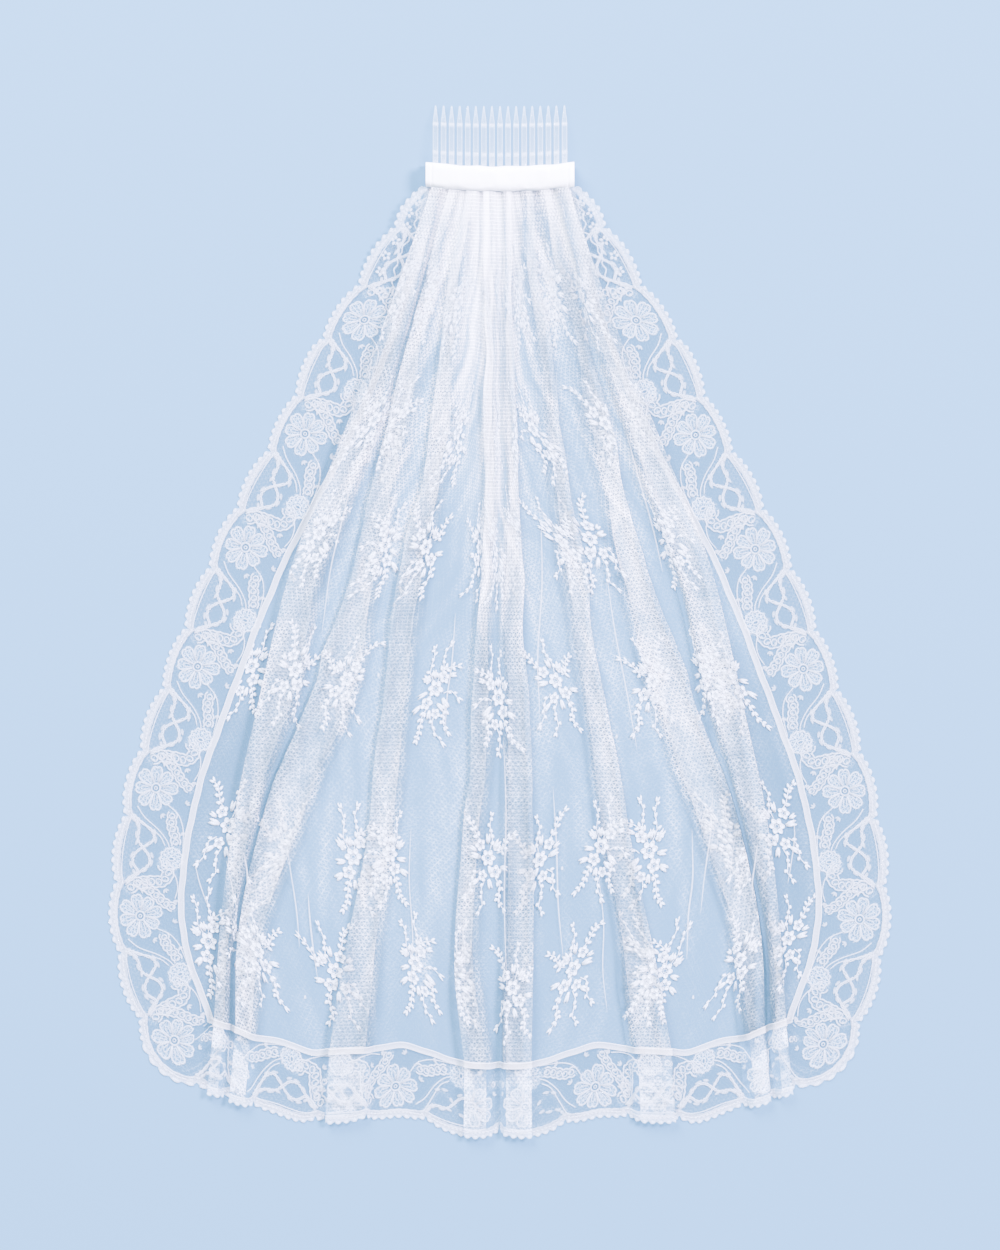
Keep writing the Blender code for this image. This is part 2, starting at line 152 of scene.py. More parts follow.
def clouds(x, y, across, along, seed):
    # seeded values from -1 to 1 on a grid, across by along, joined by smooth steps both ways
    values = np.random.default_rng(seed).uniform(-1, 1, (97, 89))
    a, b = x / across, y / along
    i, j = np.floor(a).astype(int), np.floor(b).astype(int)
    f, g = smoothStep(a - i), smoothStep(b - j)
    at = lambda m, n: values[(i + m) % 97, (j + n) % 89]
    return (at(0, 0) * (1 - f) + at(1, 0) * f) * (1 - g) + (at(0, 1) * (1 - f) + at(1, 1) * f) * g


def curve(places, values, x):
    # a smooth curve through a table's values at x: a cubic between each two places, with shared slopes
    places, values = np.asarray(places, float), np.asarray(values, float)
    slopes = np.gradient(values, places, axis=0)
    i = np.clip(np.searchsorted(places, x) - 1, 0, len(places) - 2)
    span = places[i + 1] - places[i]
    t = np.clip((x - places[i]) / span, 0.0, 1.0)
    if values.ndim > 1:
        t, span = t[:, None], span[:, None]
    return ((1 + 2 * t) * (1 - t) ** 2 * values[i] + t * (1 - t) ** 2 * span * slopes[i]
            + t * t * (3 - 2 * t) * values[i + 1] + t * t * (t - 1) * span * slopes[i + 1])


def atLevel(values, v):
    return curve(cloth["levels"], values, v)


def hemY(x):
    return curve(hemLine[:, 0], hemLine[:, 1], np.abs(x))


def bunchedAt(name, v):
    return np.interp(v, bunching["v"], bunching[name])


def lookUp(values, i, j):
    # values of a table at fractional rows i and columns j: bilinear
    i0 = np.minimum(i.astype(int), values.shape[-2] - 2)
    j0 = np.minimum(j.astype(int), values.shape[-1] - 2)
    a, b = i - i0, j - j0
    at = lambda m, n: values[..., i0 + m, j0 + n]
    return (at(0, 0) * (1 - a) + at(1, 0) * a) * (1 - b) + (at(0, 1) * (1 - a) + at(1, 1) * a) * b


def runningLength(points):
    return np.concatenate([[0], np.cumsum(np.linalg.norm(np.diff(points, axis=0), axis=1))])


def arch(x):
    # 1 in the middle of the comb, falling with the square of x to 0 at its ends
    return np.clip(1.0 - (x / cloth["headerHalf"]) ** 2, 0.0, 1.0)


def onCrease(crease, x, y):
    # how far down a crease each place lies, and how far from its line, which swings slightly
    x0, y0, x1, y1 = crease[:4]
    down = np.clip((y0 - y) / (y0 - y1), -0.2, 1.2)
    return down, x - (x0 + (x1 - x0) * down + 1.6 * np.sin(down * 5.0 + x0))


def relief(x, y):
    # height of the ground under every layer: lift at the header, plus each crease as a bell across its line
    near = smoothStep((y - cloth["liftEndsY"]) / (cloth["headerY"] - cloth["liftEndsY"]))
    height = (cloth["lift"] + cloth["arch"] * arch(x)) * near
    for crease in creases:
        width, tall = crease[4:]
        down, off = onCrease(crease, x, y)
        ends = smoothStep(np.minimum(down, 1.0 - down) * 4.0 + 0.15)
        height = height + abs(tall) * ends * np.exp(-(off / width) ** 2) * (1.0 if tall > 0 else 0.4)
    return height


def creaseLines(x, y):
    # net drawn together along the ridge of each crease, softly to one side
    added = np.zeros_like(x)
    for crease in creases[creases[:, 5] > 0]:
        width, tall = crease[4:]
        down, off = onCrease(crease, x, y)
        ends = smoothStep(np.minimum(down, 1.0 - down) * 4.0)
        added += ends * tall * 2.2 * np.exp(-((off - 1.2) / width) ** 2)
    return added


def arc(middle, height, radius, inward, count=9):
    # half a circle in section as middle -/+ radius sin, height - radius cos, for whole columns of rows
    angle = np.linspace(0, np.pi, count)[None, :]
    side = -1.0 if inward else 1.0
    return middle + side * radius * np.sin(angle), height - radius * np.cos(angle)


def pleatedHalf(v, pleats):
    # section of one half for a column of rows v: flat run, turn in, back run, turn out, top run, soft ramp
    # down. Each point has its way out and up, how closely the net is drawn up and how near a pleat's edge is
    floor = cloth["wall"] / 2 + 0 * v
    between, inPleat = bunchedAt("between", v), bunchedAt("pleats", v)
    columns = [[part] for part in (atLevel(cloth["border"], v), floor, between, 0 * v)]
    nearHem = smoothStep((v - cloth["tapedFrom"]) / cloth["tapedWithin"])
    half = cloth["backRoom"] / 2
    share = np.linspace(0, 1, 9)[None, 1:]
    nearBy = lambda out, line: np.exp(-np.abs(out - line) / bunching["foldWidth"])

    def add(out, *rest):
        for column, part in zip(columns, (out, *rest)):
            column.append(part + 0 * out)

    for k, pleat in enumerate(pleats):
        edge = atLevel(pleat["edge"], v)
        crease = edge - atLevel(pleat["depth"], v)
        start = columns[0][-1][:, -1:]
        add(start + (crease - start) * np.linspace(0, 1, pleat["run"] + 1)[None, 1:-1], floor, between, 0)
        hemRoom = cloth["foldRoom"] + (cloth["tapedRoom"] - cloth["foldRoom"]) * nearHem
        room = cloth["tapedRoom"] + 0 * v if pleat["taped"] else hemRoom
        top = floor + room + cloth["backRoom"]
        clear = crease - room / 2 - cloth["wall"]
        for out, up in (
            arc(crease, floor + room / 2, room / 2, True),
            (crease + (edge - crease) * np.linspace(0, 1, 7)[None, 1:-1], floor + room),
            arc(edge, floor + room + half, half, False),
            (edge + (clear - edge) * share, top),
        ):
            add(out, up, inPleat, np.maximum(nearBy(out, edge), 0.7 * nearBy(out, clear)))
        reach = half + 0.8 + nearHem * 1.3
        last = k + 1 == len(pleats)
        following = cloth["middleClear"] + 0 * v if last else atLevel(pleats[k + 1]["edge"], v) + reach
        out = clear - np.minimum(cloth["ramp"], 0.9 * (clear - following)) * share
        add(out, floor + (top - floor) * (1.0 - smoothStep(share)),
            between + (inPleat - between) * (1.0 - smoothStep(share * 1.4)), 0.7 * nearBy(out, clear))
    return [np.concatenate(column, axis=1) for column in columns]


def clothRows(v):
    # every layer of the net for rows v, left to right: places, layer heights, upper normals, how closely it is
    # drawn up and where it turns
    v = np.asarray(v, float)[:, None]
    left, right = pleatedHalf(v, leftPleats), pleatedHalf(v, rightPleats)
    middle = -left[0][:, -1:] + (right[0][:, -1:] + left[0][:, -1:]) * np.linspace(0, 1, 4)[None, 1:-1]
    joined = lambda k, sign, part: np.concatenate(
        [sign * left[k], part + 0 * middle, right[k][:, ::-1]], axis=1)
    x, layer = joined(0, -1, middle), joined(1, 1, cloth["wall"] / 2)
    dx, dz = np.gradient(x, axis=1), np.gradient(layer, axis=1)
    size = np.hypot(dx, dz) + 1e-9
    return x, layer, -dz / size, dx / size, joined(2, 1, left[2][:, -1:]), joined(3, 1, 0)


hemRow, headRow = clothRows([1.0]), clothRows([0.0])


def clothSurface(v):
    # rows of the net with y from header to hem, the share of the cloth passed, what it hides and what it stops
    x, layer, nx, nz, drawn, turned = clothRows(v)
    v = np.asarray(v, float)[:, None]
    headY = cloth["headerY"] - cloth["headerBow"] * arch(headRow[0])
    y = headY + (hemY(hemRow[0]) - headY) * v
    # the folds waver: one slow shift of the plane and one finer, none at the border and the hem
    free = 1.0 - smoothStep((np.abs(x) / atLevel(cloth["border"], v) - 0.72) / 0.26)
    free = free * smoothStep((v - 0.01) / 0.08) * (1.0 - smoothStep((v - 0.5) / 0.4))
    x = x + free * sum(far * clouds(x + 300, y + 300, *size) for far, *size in cloth["waver"])
    step = np.hypot(np.diff(x, axis=1), np.diff(layer, axis=1))
    closer, at, top, low, end = cloth["head"]
    bunched = 1.0 + closer * np.exp(-((x - at) / (top + (low - top) * v)) ** 2) * (1.0 - smoothStep(v / end))
    step = step * (bunched[:, 1:] + bunched[:, :-1]) / 2
    passed = np.concatenate([np.zeros((len(v), 1)), np.cumsum(step, axis=1)], axis=1)
    total = passed[:, -1:]
    share = passed / total
    # fine gathers: a sum of sines of the share passed, each drifting a little on its way down
    fine = sum(weight * np.sin(2 * np.pi * count * share + phase + 1.4 * np.sin(3.0 * v + count))
               for count, phase, weight in gathers)
    fade = (1.0 - smoothStep(v / 0.75)) * 0.8 + 0.2
    height = layer + relief(x, y) + 0.55 * fade * (fine + 0.9) * (1.0 - 0.6 * smoothStep((v - 0.7) / 0.3))
    low = smoothStep((v - 0.04) / 0.4)
    steep = np.minimum(1.0 / np.maximum(np.abs(nz), 0.18), 5.0) ** (0.25 + 0.75 * low)
    streaks = np.exp(1.5 * bunchedAt("streaks", v) * fine)
    gather = cloth["cutWidth"] / total * bunched * steep * drawn * bunchedAt("times", v) * streaks
    gather = gather + creaseLines(x, y)
    cut, down = share * cloth["cutWidth"], v * cloth["length"] + 0 * share
    for seed, (across, along, strength) in enumerate(crumples):
        gather = gather * np.exp(strength * 1.6 * clouds(cut, down, across, along, seed))
    gather = np.maximum(gather, 0.3)
    # what the net hides, and what it stops of the slanting light: most where it lies single or turns on edge
    cover = 1.0 - (1.0 - bunching["cover"]) ** gather
    beside = smoothStep((np.abs(x) / atLevel(cloth["border"], v) - 0.8) / 0.12) * smoothStep((v - 0.48) / 0.16)
    stops = (bunchedAt("stops", v) + bunchedAt("single", v) / np.maximum(gather, 1.0) ** 0.8
             + bunching["edges"] * (1.0 - np.abs(nz)) * low + bunchedAt("folds", v) * turned
             + bunching["tapedSide"] * beside)
    return {"x": x, "y": y, "z": height, "nx": nx, "nz": nz, "share": share, "cover": cover,
            "stops": np.minimum(stops, 0.9)}


# a table of the net for placing embroidery: rows down the net, even steps of cloth share across it
tableRows, tableSteps = 420, 1700


def makeClothTable():
    rows = clothSurface(np.linspace(0, 1, tableRows))
    even = np.linspace(0, 1, tableSteps)
    return np.array([[np.interp(even, *pair) for pair in zip(rows["share"], rows[name])]
                     for name in ("x", "y", "z", "nx", "nz")])


clothTable = makeClothTable()


def onNet(share, v, height):
    # a place on the net by share across and down, raised by height along the cloth's normal
    x, y, z, nx, nz = lookUp(clothTable, np.clip(v, 0, 1) * (tableRows - 1),
                             np.clip(share, 0, 1) * (tableSteps - 1))
    return np.stack([x + height * nx, y, z + height * nz], axis=-1)


print("net worked out")

# Lace edging: a strip along the border, s along it and t outwards from the seam.
lace = {
    "widthAt": (0, 0.03, 0.08, 0.15, 0.22),   # shares down the side where the strip's width is
    "width": (5, 14, 24, 34, 42),     # at first it lies half under the net
    "notch": 4.6,
    "repeat": 73.7,          # one big flower to the next
    "flowerLine": 22,      # s is measured along this line
    "flare": 0.1,
    "cornerSteps": 40,
    "firstFlower": (-78.8, 179),
}


def stripHalf(side):
    # frames of one half of the strip, header to the middle of the hem: base, way out, normal and width share
    v = np.linspace(0, 1, 640)
    rows = clothSurface(v)
    index = 0 if side < 0 else -1
    base = np.stack([rows["x"][:, index], rows["y"][:, index]], axis=-1)
    run = np.gradient(base, axis=0)
    way = np.stack([side * -run[:, 1], side * run[:, 0]], axis=-1)
    way /= np.linalg.norm(way, axis=1, keepdims=True)
    count = len(hemRow[0][0])
    half = slice(0, count // 2 + 1) if side < 0 else slice(count - 1, count // 2 - 1, -1)
    hem = np.array([part[0] for part in hemRow[:4]])[:, half]
    # finer along the hem's long flat runs
    along = runningLength(hem[:2].T)
    fine = np.unique(np.concatenate([along, np.arange(0, along[-1], 0.9)]))
    hemX, hemLayer, hemNx, hemNz = (np.interp(fine, along, part) for part in hem)
    # places of the hem that lie under another layer of it
    low, high = np.minimum(hemX[1:], hemX[:-1]), np.maximum(hemX[1:], hemX[:-1])
    upper = np.maximum(hemLayer[1:], hemLayer[:-1])
    under = ((low[None] <= hemX[:, None]) & (high[None] >= hemX[:, None])
             & (upper[None] > hemLayer[:, None] + 0.9)).any(axis=1)
    hemBase = np.stack([hemX, hemY(hemX)], axis=-1)
    hemWay = np.stack([lace["flare"] * hemX / cloth["border"][-1], -np.ones(len(hemX))], axis=-1)
    hemWay /= np.linalg.norm(hemWay, axis=1, keepdims=True)
    start, end = math.atan2(way[-1, 1], way[-1, 0]), math.atan2(hemWay[0, 1], hemWay[0, 0])
    swing = (end - start + math.pi) % (2 * math.pi) - math.pi
    angle = start + swing * np.linspace(0, 1, lace["cornerSteps"] + 2)[1:-1]
    flat, rest = len(v) + len(angle), len(angle) + len(hemX)
    base = np.concatenate([base, np.repeat(hemBase[:1], len(angle), axis=0), hemBase])
    way = np.concatenate([way, np.stack([np.cos(angle), np.sin(angle)], axis=-1), hemWay])
    layer = np.concatenate([np.full(flat, cloth["wall"] / 2), hemLayer])
    width = np.concatenate([np.interp(v, lace["widthAt"], lace["width"]), np.full(rest, lace["width"][-1])])
    line = np.concatenate([base + way * lace["flowerLine"], layer[:, None]], axis=1)
    return {"s": runningLength(line), "bx": base[:, 0], "by": base[:, 1], "wx": way[:, 0], "wy": way[:, 1],
            "layer": layer, "nx": np.concatenate([np.zeros(flat), hemNx]),
            "nz": np.concatenate([np.ones(flat), hemNz]), "wide": width, "line": line,
            "under": np.concatenate([np.zeros(flat), under.astype(float)])}


def setRepeats(strip, side):
    # where the strip's first repeat starts, so that a big flower falls on its place, and the length that
    # brings the last scallop to its notch in the middle of the hem
    target = np.array((side * -lace["firstFlower"][0], lace["firstFlower"][1]))
    nearest = np.argmin(np.linalg.norm(strip["line"][:, :2] - target, axis=1))
    strip["start"] = strip["s"][nearest] - lace["repeat"] * 1.25
    halves = round((strip["s"][-1] - strip["start"]) / lace["repeat"] * 2)
    strip["repeat"] = (strip["s"][-1] - strip["start"]) / halves * 2
    strip["halves"] = halves


strips = {}
for side in (-1, 1):
    strips[side] = stripHalf(side)
    setRepeats(strips[side], side)


def valueAt(strip, name, s):
    return np.interp(s, strip["s"], strip[name])


def outerEdge(strip, s):
    # width of the strip at s, less the notches: two rounded scallops to a repeat
    turn = 2 * np.pi * (s - strip["start"]) / strip["repeat"]
    return valueAt(strip, "wide", s) - lace["notch"] * (1.0 - np.abs(np.sin(turn)) ** 0.55)


placeNames = ("bx", "by", "wx", "wy", "layer", "nx", "nz")


def onLace(strip, s, t, height):
    # a place on the strip: base plus t outwards on the strip's own layer, raised by height along its normal
    bx, by, wx, wy, layer, nx, nz = (valueAt(strip, name, s) for name in placeNames)
    t = np.maximum(t, 0.3)
    x, y = bx + t * wx, by + t * wy
    z = layer - (layer - 0.5) * smoothStep(t / 60.0) * 0.35 + relief(x, y)
    return np.stack([x + height * nx, y, z + height * nz], axis=-1)


print("edging worked out")

# the solids are centred on their box, so every piece moves by the same small step
combTip = 302.5 - cloth["headerBow"] * 0.3 * arch(37.6 - 0.6)
shift = np.array((
    -1000 * (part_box("comb")[0][0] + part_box("comb")[1][0]) / 2,
    combTip - 1000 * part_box("comb")[1][1],
    0.0,
))


def newPiece(name, points, faces, material, smooth=True, slot=None, closed=False):
    # a mesh object at the origin from points in millimetres
    mesh = bpy.data.meshes.new(name)
    points = (np.asarray(points, float).reshape(-1, 3) - shift) * mm
    mesh.from_pydata(points.tolist(), [], [list(map(int, f)) for f in faces])
    if closed:
        shape = bmesh.new()
        shape.from_mesh(mesh)
        bmesh.ops.recalc_face_normals(shape, faces=shape.faces)
        shape.to_mesh(mesh)
        shape.free()
    if smooth:
        mesh.shade_smooth()
    mesh.materials.append(material)
    made = bpy.data.objects.new(name, mesh)
    bpy.context.collection.objects.link(made)
    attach(made, "root")
    print(name, len(mesh.polygons), "faces")
    return made


def gridFaces(rows, columns, flip=False, closedAcross=False):
    # quads of a grid, whole array at once
    i, j = np.meshgrid(np.arange(rows - 1), np.arange(columns if closedAcross else columns - 1), indexing="ij")
    k = (j + 1) % columns
    quads = np.stack([i * columns + j, (i + 1) * columns + j, (i + 1) * columns + k, i * columns + k], axis=-1)
    quads = quads.reshape(-1, 4)
    return quads[:, ::-1] if flip else quads


def setUv(made, uv):
    # uv for every corner of every face from one pair per point
    mesh = made.data
    corners = np.zeros(len(mesh.loops), np.int32)
    mesh.loops.foreach_get("vertex_index", corners)
    layer = mesh.uv_layers.new(name="clothUv")
    layer.data.foreach_set("uv", np.asarray(uv, np.float32)[corners].ravel())


def setValue(made, name, values):
    attribute = made.data.attributes.new(name, "FLOAT", "POINT")
    attribute.data.foreach_set("value", np.asarray(values, np.float32).ravel())



# Materials
def addNode(tree, kind, inputs=(), **settings):
    # a shader node with its settings; each input is a value or the socket that feeds it
    node = tree.nodes.new("ShaderNode" + kind)
    for label, value in settings.items():
        setattr(node, label, value)
    for label, value in dict(inputs).items():
        if isinstance(value, bpy.types.NodeSocket):
            tree.links.new(value, node.inputs[label])
        else:
            node.inputs[label].default_value = value
    return node


def mathNode(tree, operation, *values):
    return addNode(tree, "Math", enumerate(values), operation=operation).outputs[0]


def stored(tree, name):
    # values stored with a piece's points
    return addNode(tree, "Attribute", attribute_name=name).outputs["Fac"]


def socketGroup(name, inputs, outputs):
    group = bpy.data.node_groups.new(name, "ShaderNodeTree")
    group.interface.new_socket("Vector", in_out="INPUT", socket_type="NodeSocketVector")
    for label, value in inputs.items():
        made = group.interface.new_socket(label, in_out="INPUT", socket_type="NodeSocketFloat")
        made.default_value = value
    for label in outputs:
        group.interface.new_socket(label, in_out="OUTPUT", socket_type="NodeSocketFloat")
    return group, group.nodes.new("NodeGroupInput").outputs, group.nodes.new("NodeGroupOutput").inputs


def threadGroup():
    # net mesh: three families of threads, each the low part of |sin| of a slanted coordinate
    group, start, end = socketGroup("netThreads", {"Pitch": 1.3, "Thread": 0.4}, ["Mask"])
    x, y = addNode(group, "SeparateXYZ", {0: start["Vector"]}).outputs[:2]
    found = 0.0
    for across, down in ((0.0, 1.0), (0.7, 0.5), (-0.7, 0.5)):
        slanted = mathNode(group, "ADD", mathNode(group, "MULTIPLY", x, across),
                           mathNode(group, "MULTIPLY", y, down))
        turns = mathNode(group, "MULTIPLY", mathNode(group, "DIVIDE", slanted, start["Pitch"]), math.pi)
        wave = mathNode(group, "ABSOLUTE", mathNode(group, "SINE", turns))
        low = mathNode(group, "SUBTRACT", 1.0, mathNode(group, "DIVIDE", wave, start["Thread"]))
        found = mathNode(group, "MAXIMUM", found, low)
    group.links.new(found, end["Mask"])
    return group


def stitchGroup():
    # stitches: stretched noise as their relief, and how far the threads close up, cover +/- spread
    group, start, end = socketGroup("stitches", {"Grain": 1500.0, "Cover": 0.5, "Spread": 0.5},
                                    ["Relief", "Cover"])
    noise = addNode(group, "TexNoise", {"Detail": 1.0, "Vector": start["Vector"], "Scale": start["Grain"]})
    swing = mathNode(group, "MULTIPLY", mathNode(group, "SUBTRACT", noise.outputs["Fac"], 0.5),
                     mathNode(group, "MULTIPLY", start["Spread"], 2.0))
    cover = mathNode(group, "MAXIMUM", mathNode(group, "ADD", start["Cover"], swing), 0.02)
    group.links.new(noise.outputs["Fac"], end["Relief"])
    group.links.new(cover, end["Cover"])
    return group


netThreads, stitches = threadGroup(), stitchGroup()


def plainMaterial(name, colour, roughness, **sockets):
    material = bpy.data.materials.new(name)
    material.use_nodes = True
    shader = material.node_tree.nodes["Principled BSDF"]
    sockets = {"Base Color": (*colour, 1.0), "Roughness": roughness, **sockets}
    for label, value in sockets.items():
        shader.inputs[label].default_value = value
    return material, material.node_tree, shader


def addBump(tree, shader, height, strength, distance):
    bump = addNode(tree, "Bump", {"Strength": strength, "Distance": distance, "Height": height})
    tree.links.new(bump.outputs["Normal"], shader.inputs["Normal"])


def colourRamp(tree, shader, value, stops):
    # base colour between two stops, each a place and a colour
    ramp = addNode(tree, "ValToRGB", {"Fac": value})
    for element, (place, colour) in zip(ramp.color_ramp.elements, stops):
        element.position, element.color = place, (*colour, 1.0)
    tree.links.new(ramp.outputs["Color"], shader.inputs["Base Color"])


def sheerMaterial(name, single, bunched, pitch, swing, crumple, clump, upright):
    # sheer net: its cover is stored with its points, its threads and fine crumples go on top, and for the light
    # that falls through it counts what it stops. Its round threads are lit much as if they faced upwards.
    # Where it lies single its colour is painted with the blue of the light from the surface below
    material, tree, shader = plainMaterial(name, bunched, 0.75, **{"Sheen Weight": 0.15, "Sheen Roughness": 0.5})
    uv = addNode(tree, "UVMap", uv_map="clothUv").outputs["UV"]
    millimetres = addNode(tree, "VectorMath", {0: uv, "Scale": 1000.0}, operation="SCALE").outputs[0]
    threads = addNode(tree, "Group", node_tree=netThreads)
    threads.inputs["Pitch"].default_value = pitch
    threads.inputs["Thread"].default_value = 0.45
    tree.links.new(millimetres, threads.inputs["Vector"])
    cloud = addNode(tree, "TexNoise", {"Scale": 1.0 / clump, "Detail": 1.0, "Vector": millimetres},
                    noise_dimensions="2D")
    swell = mathNode(tree, "ADD", mathNode(tree, "MULTIPLY", cloud.outputs["Fac"], 2.0 * crumple), 1.0 - crumple)
    woven = mathNode(tree, "ADD", mathNode(tree, "MULTIPLY", threads.outputs["Mask"], swing), 1.0 - swing * 0.38)
    cover = stored(tree, "cover")
    # painted light: the colour runs from the painted blue light from below, where the net is single, to the bunched
    # colour
    colourRamp(tree, shader, cover, ((0.1, single), (0.3, bunched)))
    # 1 - (1 - cover) ^ (threads and crumples), which leaves close net close
    times = mathNode(tree, "MAXIMUM", mathNode(tree, "MULTIPLY", swell, woven), 0.1)
    let = mathNode(tree, "POWER", mathNode(tree, "SUBTRACT", 1.0, cover), times)
    seen = mathNode(tree, "SUBTRACT", 1.0, let)
    path = addNode(tree, "LightPath")
    change = mathNode(tree, "MULTIPLY", mathNode(tree, "SUBTRACT", stored(tree, "stops"), seen),
                      path.outputs["Is Shadow Ray"])
    tree.links.new(mathNode(tree, "ADD", seen, change), shader.inputs["Alpha"])
    facing = addNode(tree, "NewGeometry").outputs["Normal"]
    part = addNode(tree, "VectorMath", {0: facing, 1: (1.0 - upright,) * 3, 2: (0.0, 0.0, upright)},
                   operation="MULTIPLY_ADD")
    whole = addNode(tree, "VectorMath", {0: part.outputs[0]}, operation="NORMALIZE")
    tree.links.new(whole.outputs[0], shader.inputs["Normal"])
    return material


def threadMaterial(name, colour, grain, cover, spread, shade, edges=None):
    # embroidery: stitches with gaps finer than the eye sees, painted lighter on their crests and with painted shade in
    # the hollows between them. Its threads stand up from the cloth, so slanting light meets more of them, shade times,
    # than the eye does from above
    material, tree, shader = plainMaterial(name, colour, 0.7, **{"Sheen Weight": 0.15})
    place = addNode(tree, "TexCoord").outputs["Object"]
    stitched = addNode(tree, "Group", node_tree=stitches)
    for label, value in (("Grain", grain), ("Cover", cover), ("Spread", spread)):
        stitched.inputs[label].default_value = value
    tree.links.new(place, stitched.inputs["Vector"])
    relief = stitched.outputs["Relief"]
    # painted shade: 85 per cent of the colour where the stitch relief is low, full colour on the crests
    colourRamp(tree, shader, relief, ((0.0, [c * 0.85 for c in colour]), (0.6, colour)))
    addBump(tree, shader, relief, 0.4, 0.0003)
    alpha = stitched.outputs["Cover"]
    if edges:
        alpha = mathNode(tree, "MULTIPLY", alpha, stored(tree, edges))
    shadow = addNode(tree, "LightPath").outputs["Is Shadow Ray"]
    more = mathNode(tree, "ADD", mathNode(tree, "MULTIPLY", shadow, shade - 1.0), 1.0)
    alpha = mathNode(tree, "MINIMUM", mathNode(tree, "MULTIPLY", alpha, more), 1.0)
    tree.links.new(alpha, shader.inputs["Alpha"])
    return material


# colours where single and where bunched, pitch of the mesh, swings of its threads and crumples, size of a
# crumple, and how far it is lit from above. The blue of the net's single colour and of both lace ground colours
# is painted light from the surface below; the net's bunched colour is its own white
netMaterial = sheerMaterial("sheerNet", (0.76, 0.89, 1.0), (0.92, 0.91, 0.97), 2.1, 2.6, 1.3, 2.0, 0.8)
groundMaterial = sheerMaterial("laceGround", (0.74, 0.88, 1.0), (0.80, 0.89, 1.0), 2.0, 3.0, 1.5, 1.1, 0.5)
# colour, grain, cover, spread and shade
# white thread with painted blue light from the surface below
threadWhiteInFloorLight = (0.80, 0.88, 0.99)
cordWhite = threadMaterial("laceCord", threadWhiteInFloorLight, 1400.0, 0.28, 0.26, 1.6)
denseWhite = threadMaterial("laceDense", threadWhiteInFloorLight, 1500.0, 0.18, 0.16, 1.8)
sprayWhite = threadMaterial("sprayThread", threadWhiteInFloorLight, 1300.0, 0.48, 0.6, 1.1, edges="stitched")
pinchWhite = threadMaterial("drawnNet", (0.93, 0.94, 0.985), 900.0, 0.2, 0.1, 1.3)
tapeWhite = threadMaterial("tapeCotton", (0.92, 0.935, 0.98), 2200.0, 0.24, 0.14, 1.4, edges="stitched")
print("materials made")


# Net
netRows = 200
v = np.linspace(0, 1, netRows)
net = clothSurface(v)
netSheet = newPiece("net", np.stack([net["x"], net["y"], net["z"]], axis=-1), gridFaces(*net["x"].shape),
                    netMaterial, slot="net")
down = v[:, None] * cloth["length"] + 0 * net["x"]
setUv(netSheet, np.stack([net["share"] * cloth["cutWidth"], -down], axis=-1).reshape(-1, 2) * mm)
setValue(netSheet, "cover", net["cover"])
setValue(netSheet, "stops", net["stops"])
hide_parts("net_panel")


def tube(rings):
    # closed skin of a row of rings, with a face at each end
    rows, count = rings.shape[:2]
    faces = gridFaces(rows, count, closedAcross=True).tolist()
    return rings.reshape(-1, 3), faces + [list(range(count)), list(range((rows - 1) * count, rows * count))]


def joinShapes(shapes):
    points, faces, first = [], [], 0
    for place, corners in shapes:
        points.append(place)
        faces += [[c + first for c in face] for face in corners]
        first += len(place)
    return np.concatenate(points), faces


def ribbon(path, width, lift=0.0, thick=0.35):
    # a closed three-sided thread along a flat path: left, ridge and right at each point
    path = np.asarray(path, float)
    run = np.gradient(path, axis=0)
    run /= np.linalg.norm(run, axis=1, keepdims=True) + 1e-9
    across = np.stack([-run[:, 1], run[:, 0]], axis=-1)
    across = across * np.broadcast_to(np.asarray(width, float) / 2, len(path))[:, None]
    height = lambda z: np.full(len(path), z)
    return tube(np.stack([
        np.column_stack([path + across, height(lift)]),
        np.column_stack([path, height(lift + thick)]),
        np.column_stack([path - across, height(lift)]),
    ], axis=1))


def bud(outline, lift=0.0, thick=0.3):
    # the smallest cushion: a rim, a point above its middle and one below
    outline = np.asarray(outline, float)
    middle = outline.mean(axis=0)
    count = len(outline)
    points = np.concatenate([np.column_stack([outline, np.full(count, lift)]),
                             [[*middle, lift + thick], [*middle, lift - 0.02]]])
    faces = [[k, (k + 1) % count, tip] for tip in (count, count + 1) for k in range(count)]
    return points, faces


def pad(outline, lift=0.0, thick=0.35):
    # a closed cushion of stitches inside an outline: rim, a crown above its middle and a point below
    outline = np.asarray(outline, float)
    count = len(outline)
    points, faces = bud(outline, lift, thick * 1.15)
    inner = outline.mean(axis=0) + (outline - outline.mean(axis=0)) * 0.62
    points = np.insert(points, count, np.column_stack([inner, np.full(count, lift + thick)]), axis=0)
    k = np.arange(count)
    n = (k + 1) % count
    sides = np.column_stack([k, n, count + n, count + k]).tolist()
    crown = np.column_stack([count + k, count + n, np.full(count, 2 * count)]).tolist()
    return points, sides + crown + np.column_stack([n, k, np.full(count, 2 * count + 1)]).tolist()


def leafOutline(x, y, heading, length, width, count=8):
    # an almond: long axis along heading, widest a little before the middle
    angle = np.linspace(0, 2 * np.pi, count, endpoint=False)
    along = (0.5 + 0.5 * np.cos(angle)) * length
    side = np.sin(angle) * (1.0 - 0.3 * np.cos(angle)) * width / 2
    c, s = math.cos(heading), math.sin(heading)
    return np.stack([x + along * c - side * s, y + along * s + side * c], axis=-1)


def petalReach(t, radius, inner, lobes=2):
    # distance of a petal's edge from the flower's middle, t from side to side, its end scalloped into lobes
    rim = np.abs(np.sin(t * np.pi * lobes)) ** 0.5
    return inner + (radius - inner) * np.sin(t * np.pi) ** 0.22 * (0.88 + 0.12 * rim)


